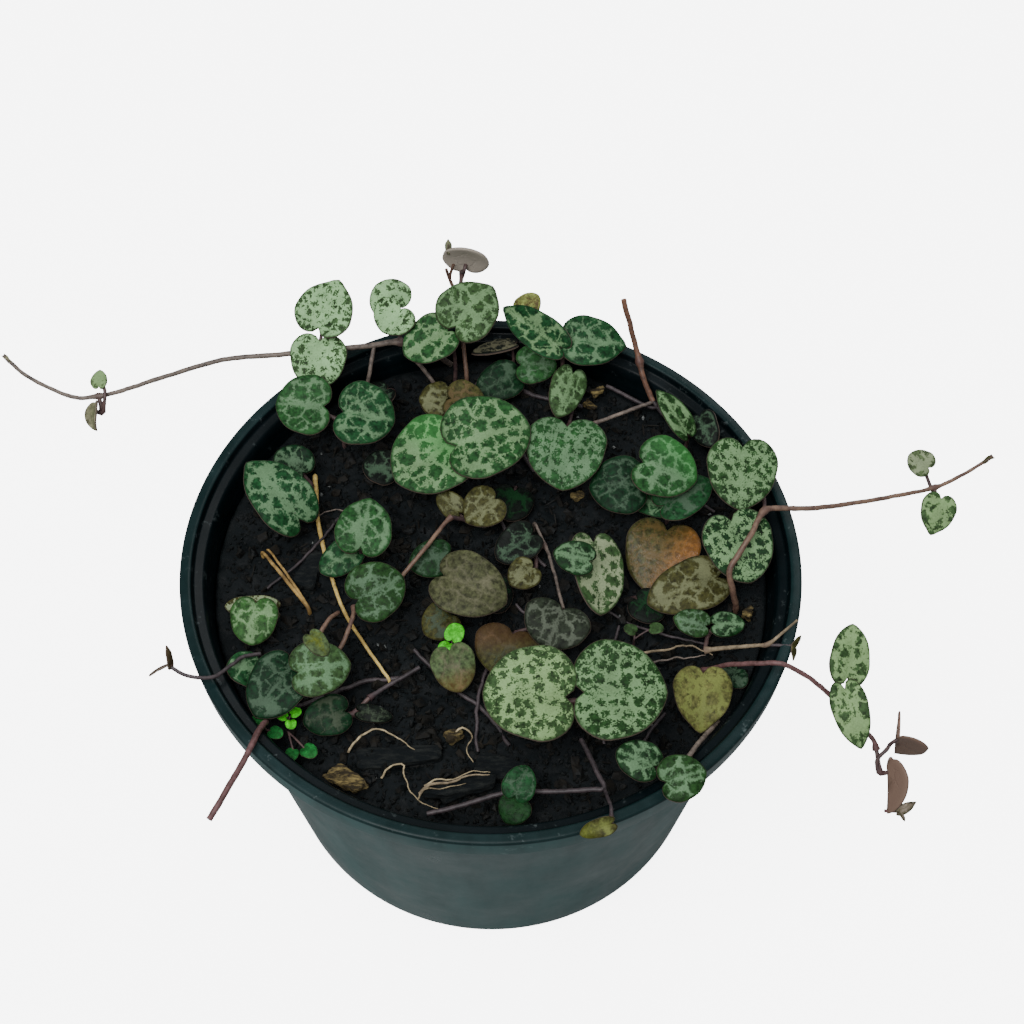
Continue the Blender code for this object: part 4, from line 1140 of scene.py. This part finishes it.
# The dry twig has its knot where it turns up.
twig_knot = sharpest_bend(vines["twig_dry_right"][0])
joints["twig_dry_right"].append(twig_knot)
SLOT_OF = {subpart["node"]: subpart["material_slot"] for subpart in frame["record"]["subparts"]}
for node, chains in vines.items():
    radius = VINE_RADIUS.get(node, PLAIN_VINE_RADIUS)
    meshes = []
    if node == "straw_short":
        # It is a straw split in two from its foot.
        side = (chains[0][0] - chains[0][-1]).cross(Vector((0, 0, 1))).normalized()
        chains = [[p + side * spread * i for i, p in enumerate(reversed(chains[0]))]
                  for spread in (-0.4, 0.4)]
        radius = 0.6
    barks = VINE_BARK[node].split()
    for number, chain in enumerate(chains):
        main = number == 0
        if main and node in OUTWARD_TAPER and chain[0].xy.length > chain[-1].xy.length:
            chain = chain[::-1]
        ends = [chain[0].copy(), chain[-1].copy()]
        for end in ends:
            if end.xy.length < soil_radius - 3 and end.z < soil_z(end.x, end.y) + 3.5:
                end.z = soil_z(end.x, end.y) - 1.5
        chain = chain if chain[0] == ends[0] else [ends[0]] + chain
        chain = chain if chain[-1] == ends[1] else chain + [ends[1]]
        knots = joints[node] + [chain[i] for i in VINE_KNOTS.get(node, ())] if main else joints[node]
        thickness = radius * VINE_SLIM.get(node, PLAIN_SLIM) * (1.0 if main else SIDE_SHOOT_SLIM)
        thinning = OUTWARD_TAPER[node] if main and node in OUTWARD_TAPER else VINE_TAPER.get(node, 1.0)
        meshes.append(stem("vine", chain, thickness, BARK[barks[min(number, len(barks) - 1)]], knuckles=knots,
                           taper=thinning, wobble=0.5))
    show("grown_" + node, meshes, SLOT_OF[node], node)

# %% Grow the leaves
UNDERSIDE_GAP = 0.1
LEAF_TRIM = 0.985  # so that a wavy margin stays inside the solid leaf's own box

for node in leaf_nodes:
    meshes = []
    for number, ((place, length, width), (finish, dark, pale, *bend)) in enumerate(
            zip(blades[node], LOOKS[node])):
        chance = random.Random(node + str(number))
        sizes = {"Dome": chance.uniform(0.2, 0.9), "Curl": chance.uniform(-0.3, 0.0),
                 "Fold": chance.uniform(0.03, 0.16), "Wave": chance.uniform(0.1, 0.4),
                 "Tip": chance.uniform(0.0, 0.03), "Notch": 0.0, "Seed": chance.uniform(1, 9)}
        for own in bend:
            sizes.update(own)
        mesh = grow("blade", blade_tree, Length=length * LEAF_TRIM, Width=width * LEAF_TRIM,
                    Thickness=blade_thickness(length), Lift=UNDERSIDE_GAP,
                    Dark=LEAF_COLOURS[dark], Pale=LEAF_COLOURS[pale], Material=LEAF_FINISH[finish], **sizes)
        mesh.transform(place)
        meshes.append(mesh)
    knuckles = [sprigs[node][0]] if node in sprigs else []
    meshes.append(stem("stalk", stalks[node], STALK_RADIUS * 0.9, BARK["stalk"], knuckles=knuckles, sides=8))
    if node in sprigs:
        meshes.append(stem("sprig", sprigs[node], STALK_RADIUS, BARK["stalk"], knuckles=knuckles, sides=8))
    show("grown_" + node, meshes, SLOT_OF[node], node)
print("grown leaves on", len(leaf_nodes), "nodes")

# %% [markdown]
# ## Small things the CAD leaves out
# A few small leaves, seedlings, buds and bits of litter are too small to matter to the solid
# model.  They stand on the soil or at a vine's end, so their places are given from the soil's
# middle, with a height above its surface, or from the end of the vine.

# %% Placing small things
LITTER_LEAF_SLOT = "leaf_dark"


def on_soil(x, y, above=0.0):
    """A point this far right of and behind the soil's middle and above its surface, in mm."""
    middle = (soil_low + soil_high) / 2
    return Vector((x + middle.x, y + middle.y, soil_z(x + middle.x, y + middle.y) + above))


def small_leaf(root, heading, pitch, roll, length, width, finish, dark, pale, **bend):
    """One leaf blade whose notch is at root and whose midrib points by heading and pitch in degrees."""
    sizes = {"Dome": 0.3, "Curl": -0.1, "Fold": 0.05, "Wave": 0.1, "Seed": root.x % 7 + 1, **bend}
    mesh = grow("blade", blade_tree, Length=length, Width=width, Thickness=blade_thickness(length),
                Dark=LEAF_COLOURS[dark], Pale=LEAF_COLOURS[pale], Material=LEAF_FINISH[finish], **sizes)
    mesh.transform(Matrix.Translation(root) @ Matrix.Rotation(math.radians(heading), 4, "Z")
                   @ Matrix.Rotation(math.radians(-pitch), 4, "Y")
                   @ Matrix.Rotation(math.radians(roll), 4, "X"))
    return mesh


def stalk_to(root, foot, bark="stalk", radius=0.4):
    """A short stalk from a leaf's root, sagging a little, to its foot."""
    middle = (root + foot) / 2 + Vector((0.5, 0.4, 0.6))
    return stem("stalk", [root + Vector((0, 0, 0.3)), middle, foot], radius, BARK[bark], sides=6, taper=1.2)


# %% Small leaves
SMALL_LEAVES = {
    # right, behind, above, heading, pitch, roll, length, width, finish, dark, pale, the stalk's foot
    "leaf_olive_behind": (8.5, 74, 13, 28, 38, 20, 7, 7, "dim", "mustard", "clay", (12, 65)),
    "leaf_dark_hidden": (-25, 31, 3, 171, 5, -10, 8, 10, "dim", "pit", "slate", (-22, 33)),
    "leaf_dark_under_plain": (-1, -3, 3, -60, -5, 10, 9, 10, "dim", "pit", "bottle", (0, 1)),
    "leaf_dark_under_mottled": (6, 24, 3, -100, -5, -10, 9, 11, "dim", "pit", "bottle", (6, 28)),
    "leaf_dark_back_left": (-27, 55, 4, -140, -10, 10, 8, 9, "dim", "pit", "slate", (-25, 58)),
    "leaf_dark_right_low": (36, -8, 3, -40, -5, 10, 8, 9, "dim", "pit", "bottle", (34, -5)),
    "leaf_yellow_fork": (-42.4, -25.6, 17.4, -48, -14, 0, 6.4, 5.2, "plain", "olive", "lemon", (-40, -23)),
    "leaf_tiny_right_first": (58.2, -28.4, 3, 175, 5, -15, 4, 5.3, "netted", "ivy", "slate", (57.8, -28)),
    "leaf_tiny_right_last": (58.2, -28.8, 3, -60, 5, 15, 4.4, 5.4, "netted", "ivy", "slate", (57.8, -28)),
    "leaf_dry_grey_back": (5.8, 66.5, 7.5, -168, -4, 18, 11, 6, "netted", "pit", "drab", (6, 64)),
}
for name, (x, y, above, heading, pitch, roll, length, width,
           finish, dark, pale, foot) in SMALL_LEAVES.items():
    root = on_soil(x, y, above)
    blade = small_leaf(root, heading, pitch, roll, length, width, finish, dark, pale)
    show(name, [blade, stalk_to(root, on_soil(*foot, -1.0))], LITTER_LEAF_SLOT)

# %% Seedlings
# Weed seedlings have two or three round seed leaves of a bright, plain green on a thread of a
# stem, unlike anything else in the pot.
SEEDLINGS = {
    "seedling_lime_left": ("lime", (-48.0, -40), [(-47.2, -39.2, 5, 20, 2.6), (-48.6, -40.2, 5, 160, 2.6),
                                                   (-47.4, -41.2, 4.6, -80, 2.6)]),
    "seedling_clover_rim": ("clover", (-53, -43),
                            [(-54, -42.5, 5.5, 170, 3.6), (-51.8, -43.8, 4.6, -30, 3.4)]),
    "seedling_clover_front": ("clover", (-48, -43),
                              [(-43.8, -47.8, 4.0, -40, 3.8), (-46.6, -48.0, 3.8, -100, 3.2)]),
    "seedling_lime_middle": ("lime", (-9.6, -21.8),
                             [(-9.4, -21.4, 7.5, 70, 4.6), (-10.2, -22.2, 6.2, -120, 4.0)]),
    "seedling_thin_right": ("fern", (34.5, -19.5),
                            [(34.6, -18.0, 4.6, 150, 3.0), (38.6, -17.8, 5.4, -10, 3.2)]),
}
for name, (colour, foot, seed_leaves) in SEEDLINGS.items():
    fork = on_soil(*foot, min(above for _, _, above, _, _ in seed_leaves) - 1.0)
    meshes = [stem("seedling stem", [on_soil(*foot, -1.0), fork], 0.28, BARK["stalk"], sides=6)]
    for x, y, above, heading, size in seed_leaves:
        root = on_soil(x, y, above)
        meshes.append(small_leaf(root, heading, 8, 0, size, size * 1.05, "plain", colour, colour, Tip=-0.03))
        meshes.append(stem("seedling stem", [fork, (fork + root) / 2 + Vector((0, 0, 0.3)), root], 0.24,
                           BARK["stalk"], sides=6))
    show(name, meshes, LITTER_LEAF_SLOT)

# %% Buds at the vines' ends
def vine_end(node, towards):
    """The end of a vine's main stem that lies farthest towards a direction, and the way it points."""
    chain = vines[node][0]
    end, before = max(((chain[0], chain[1]), (chain[-1], chain[-2])), key=lambda pair: pair[0].dot(towards))
    return end, (end - before).normalized()


BUDS = {
    "bud_runner_left": ("vine_runner_left", (-1, 0, 0), 3.2, 1.3, "plain", "drab", "khaki"),
    "bud_runner_right": ("vine_runner_right", (1, 0, 0), 3.4, 1.4, "plain", "umber", "khaki"),
}
for name, (node, towards, length, width, finish, dark, pale) in BUDS.items():
    end, way = vine_end(node, Vector(towards))
    root = end - way * length * 0.8
    heading, pitch = math.degrees(math.atan2(way.y, way.x)), math.degrees(math.asin(way.z))
    leaflets = [small_leaf(root, heading + spread, pitch, roll, length * 0.8, width, finish, dark, pale,
                           Tip=0.12)
                for spread, roll in ((14, 60), (-14, -60))]
    show(name, leaflets, LITTER_LEAF_SLOT)

# The tendril forks into two closed leaves, one held up and one in line.
fork, _ = vine_end("vine_tendril_left", Vector((-1, 0, 0)))
onward = tendril_tip - fork
heading, pitch = math.degrees(math.atan2(onward.y, onward.x)), math.degrees(math.asin(onward.normalized().z))
show("bud_tendril_left", [small_leaf(fork, heading, pitch, 60, onward.length, 1.9, "plain", "tobacco",
                                     "tobacco", Tip=0.12),
                          small_leaf(fork, 96, 66, 50, 5.4, 1.9, "plain", "tobacco", "tobacco", Tip=0.12),
                          stem("fork", [fork, fork + Vector((0.2, 0, 0.9))], 0.6, BARK["purple"], sides=8)],
     LITTER_LEAF_SLOT)

# A dark bud of two closed leaves stands on a thread of its own beside the twig's knot.
fork = twig_knot + Vector((6.0, -0.5, 0.2))
show("bud_twig_right", [stem("thread", [twig_knot, fork], 0.4, BARK["dark"], sides=8),
                        small_leaf(fork, 50, 15, 50, 3.0, 1.6, "plain", "umber", "umber", Tip=0.12),
                        small_leaf(fork, -95, -5, -50, 3.6, 2.0, "plain", "umber", "umber", Tip=0.12)],
     LITTER_LEAF_SLOT)

# The low runner ends in a leaf pair no bigger than a grain, on a thread beyond its last leaf.
last_place, last_length, _ = blades["leaves_runner_low_last"][0]
tip = last_place @ Vector((last_length, 0, 0))
fork = tip + Vector((3.0, 0.8, 0.0))
show("bud_runner_low", [stem("thread", [tip + Vector((-0.3, 0.8, 0.4)), fork], 0.4, BARK["purple"], sides=8),
                        small_leaf(fork, 25, 10, 40, 4.6, 2.6, "plain", "umber", "fawn", Tip=0.1),
                        small_leaf(fork, -60, -10, -40, 2.6, 2.0, "plain", "umber", "fawn", Tip=0.1)],
     LITTER_LEAF_SLOT)

# The shoot has a bud over its leaf and two bare stalks that have lost theirs.
foot = vines["vine_shoot_back"][0][-1]
bud = foot + Vector((-2.2, 5.0, 13.8))
show("bud_shoot_back",
     [small_leaf(bud, 90, 84, roll, 4.0, 1.8, "plain", "drab", "grey", Tip=0.12) for roll in (50, -50)]
     + [stem("bare stalk", [foot + Vector((0.3, 1.0, 0.6)), foot + Vector((-2.0, 3.0, 5.2)), top], 0.42,
             BARK["pink"], sides=8)
        for top in (foot + Vector((-2.9, 3.4, 8.9)), foot + Vector((-1.0, 3.7, 10.3)))],
     LITTER_LEAF_SLOT)

# %% Roots and dead stems
FINE_ROOTS = {
    # bark, radius, the points right, behind and above
    "root_pale_left": ("root", 0.32, [(-34, -47.5, 1), (-32, -45.5, 3), (-28, -43.5, 5), (-23.5, -44.5, 4),
                                      (-16.5, -48, 1)]),
    "root_curl_middle": ("root", 0.3, [(-9.5, -44, 2), (-7, -42.5, 3), (-5, -44.5, 3), (-6, -46.5, 2),
                                       (-4.5, -50, 1)]),
    "root_squiggle_front": ("root", 0.26, [(-26, -54, 1), (-24.5, -52.6, 3), (-21, -51.5, 4), (-20.8, -55, 3),
                                           (-18, -60.0, 2), (-13, -62.0, 1)]),
    "root_fray_on_chip": ("dry", 0.42, [(-16.8, -59.6, 3.4), (-14.4, -57.6, 5.0), (-9.4, -57.0, 5.4),
                                        (-5.3, -55.8, 5.4), (-1.0, -55.4, 4.6)]),
    "root_fray_behind": ("root", 0.24, [(-15.6, -57.6, 4.4), (-13.0, -56.5, 5.4), (-9.0, -56.2, 5.2),
                                        (-5.0, -54.9, 5.4), (-0.6, -54.6, 4.8)]),
    "root_fray_in_front": ("root", 0.22, [(-17.4, -60.8, 2.8), (-15.6, -58.6, 4.4), (-12.0, -58.2, 5.2),
                                          (-8.4, -57.8, 5.2), (-6.4, -57.2, 4.6)]),
    "stem_split_upper": ("dry", 0.4, [(34, -23.9, 3.4), (41.7, -22.4, 4), (47.8, -21.6, 4),
                                      (53.0, -23.1, 3.6)]),
    "stem_split_lower": ("grey", 0.34, [(34.5, -26.8, 3), (43.2, -24.6, 3.4), (51.5, -23.4, 3)]),
    "tendril_thin_left": ("grey", 0.3, [(-28, 13, 2), (-33, 12, 8), (-37, 16, 8), (-45, 17, 3)]),
}
BARK["root"] = bark_material("pale dry root", "4a4030", "9a8c6e", 0.8)
for name, (bark, radius, route) in FINE_ROOTS.items():
    show(name, [stem("root", [on_soil(*p) for p in route], radius, BARK[bark], wobble=2.4, taper=0.35,
                     sides=8)], "straw")

DEAD_STEMS = 14
chance = random.Random(3)
meshes = []
for number in range(DEAD_STEMS):
    angle, r = chance.uniform(0, 2 * math.pi), soil_radius * 0.85 * math.sqrt(chance.random())
    heading, length = chance.uniform(0, 2 * math.pi), chance.uniform(14, 34)
    route = []
    for s in (-0.5, -0.15, 0.2, 0.5):
        bend = heading + 0.5 * s * chance.uniform(-1, 1)
        x = r * math.cos(angle) + s * length * math.cos(bend)
        y = r * math.sin(angle) + s * length * math.sin(bend)
        shrink = min(1.0, (soil_radius - 2.5) / math.hypot(x, y))
        route.append(on_soil(x * shrink, y * shrink, chance.uniform(0.2, 2.2)))
    meshes.append(stem("dead stem", route, chance.uniform(0.35, 0.6), BARK["dark"], wobble=1.4, sides=7,
                       seed=number * 9.0))
show("dead_stems", meshes, "vine_bark")

# %% [markdown]
# ## Bark chips
# Chips of composted bark are torn, not cut: their edges crumble and their grain runs lengthwise.
# Each CAD chip is split into small faces, softened at its edges and pushed about by noise, and the
# small ones start from a box.

# %% Chips
def wood_material(name, dark, pale, stretch):
    """Torn bark with lengthwise grain; stretch says how the grain lies along X, Y and Z."""
    material, tree, shader = new_material(name, Roughness=0.9, Specular_IOR_Level=0.15)
    place = put(tree, "ShaderNodeTexCoord", out="Object")
    place = put(tree, "ShaderNodeMapping", {"Vector": place, "Scale": stretch})
    fibre = put(tree, "ShaderNodeTexNoise", {"Vector": place, "Scale": 1.0, "Detail": 5.0, "Roughness": 0.7})
    blend = put(tree, "ShaderNodeMapRange", {"Value": fibre, "From Min": 0.46, "From Max": 0.7})
    colour = put(tree, "ShaderNodeMix", {0: blend, "A": linear(dark), "B": linear(pale)}, out=2,
                 data_type="RGBA")
    tree.links.new(colour, shader.inputs["Base Color"])
    bump = put(tree, "ShaderNodeBump", {"Height": fibre, "Distance": 0.0005, "Strength": 0.9})
    tree.links.new(bump, shader.inputs["Normal"])
    return material


CHIP_TAN = wood_material("torn tan bark", "221d13", "74663f", (260.0, 800.0, 700.0))
CHIP_DARK = wood_material("torn dark bark", "04080a", "1c1e1c", (250.0, 1100.0, 900.0))


def torn(shell, material, cuts=6, rough=0.7, seed=0):
    """Roughen a plain solid given in mm into a torn chip, and return its mesh."""
    bmesh.ops.triangulate(shell, faces=shell.faces)
    bmesh.ops.subdivide_edges(shell, edges=shell.edges, cuts=cuts, use_grid_fill=True)
    for _ in range(3):
        bmesh.ops.smooth_vert(shell, verts=shell.verts, factor=0.5, use_axis_x=True, use_axis_y=True,
                              use_axis_z=True)
    shell.normal_update()
    for vert in shell.verts:
        spot = vert.co + Vector((seed * 13.0, 0, 0))
        vert.co += vert.normal * rough * (noise.noise(spot / 1.1) + 0.6 * noise.noise(spot / 3.0))
    bmesh.ops.recalc_face_normals(shell, faces=shell.faces)
    mesh = bpy.data.meshes.new("chip")
    shell.to_mesh(mesh)
    shell.free()
    mesh.materials.append(material)
    return mesh


show("torn_chip_dark", [torn(welded("bark_chip_dark"), CHIP_DARK)], "bark_chip", "bark_chip_dark")
show("torn_chip_tan", [torn(welded("bark_chip_tan"), CHIP_TAN, seed=1)], "bark_chip", "bark_chip_tan")

SMALL_CHIPS = {
    # right, behind, above, turn in degrees, length, depth, height, bark
    "chip_wood_long": (-22, -48.5, 0.5, 4, 20, 6, 3.0, CHIP_DARK),
    "chip_grey_back_first": (28.5, 55, 4, 30, 4.0, 2.4, 1.6, CHIP_TAN),
    "chip_grey_back_last": (26.5, 52, 2, -40, 3.6, 2.2, 1.4, CHIP_TAN),
    "chip_tan_right": (63, -11, 2, 60, 3.4, 2.6, 2.2, CHIP_TAN),
    "chip_brown_middle": (22.2, 22.6, 2.5, 20, 3.2, 2.6, 1.6, CHIP_TAN),
    "chip_curl_head": (-9.0, -44, 2, 20, 4.2, 3.0, 2.6, CHIP_TAN),
    "chip_dark_left": (-45, 3, 0.5, 70, 11, 6, 3.0, CHIP_DARK),
    "chip_dark_middle": (2, -52, 0.4, -15, 12, 7, 3.0, CHIP_DARK),
    "chip_dark_front": (-8, -57, 0.4, 25, 9, 5, 3.0, CHIP_DARK),
}
for number, (name, (x, y, above, turn, length, depth, height, bark)) in enumerate(SMALL_CHIPS.items()):
    shell = bmesh.new()
    bmesh.ops.create_cube(shell, size=1.0)
    for vert in shell.verts:
        vert.co.y *= 1.0 - 0.35 * (vert.co.x + 0.5)
    shell.transform(Matrix.Translation(on_soil(x, y, above)) @ Matrix.Rotation(math.radians(turn), 4, "Z")
                    @ Matrix.Diagonal((length, depth, height, 1.0)))
    show(name, [torn(shell, bark, rough=0.5, seed=number + 2)], "bark_chip")
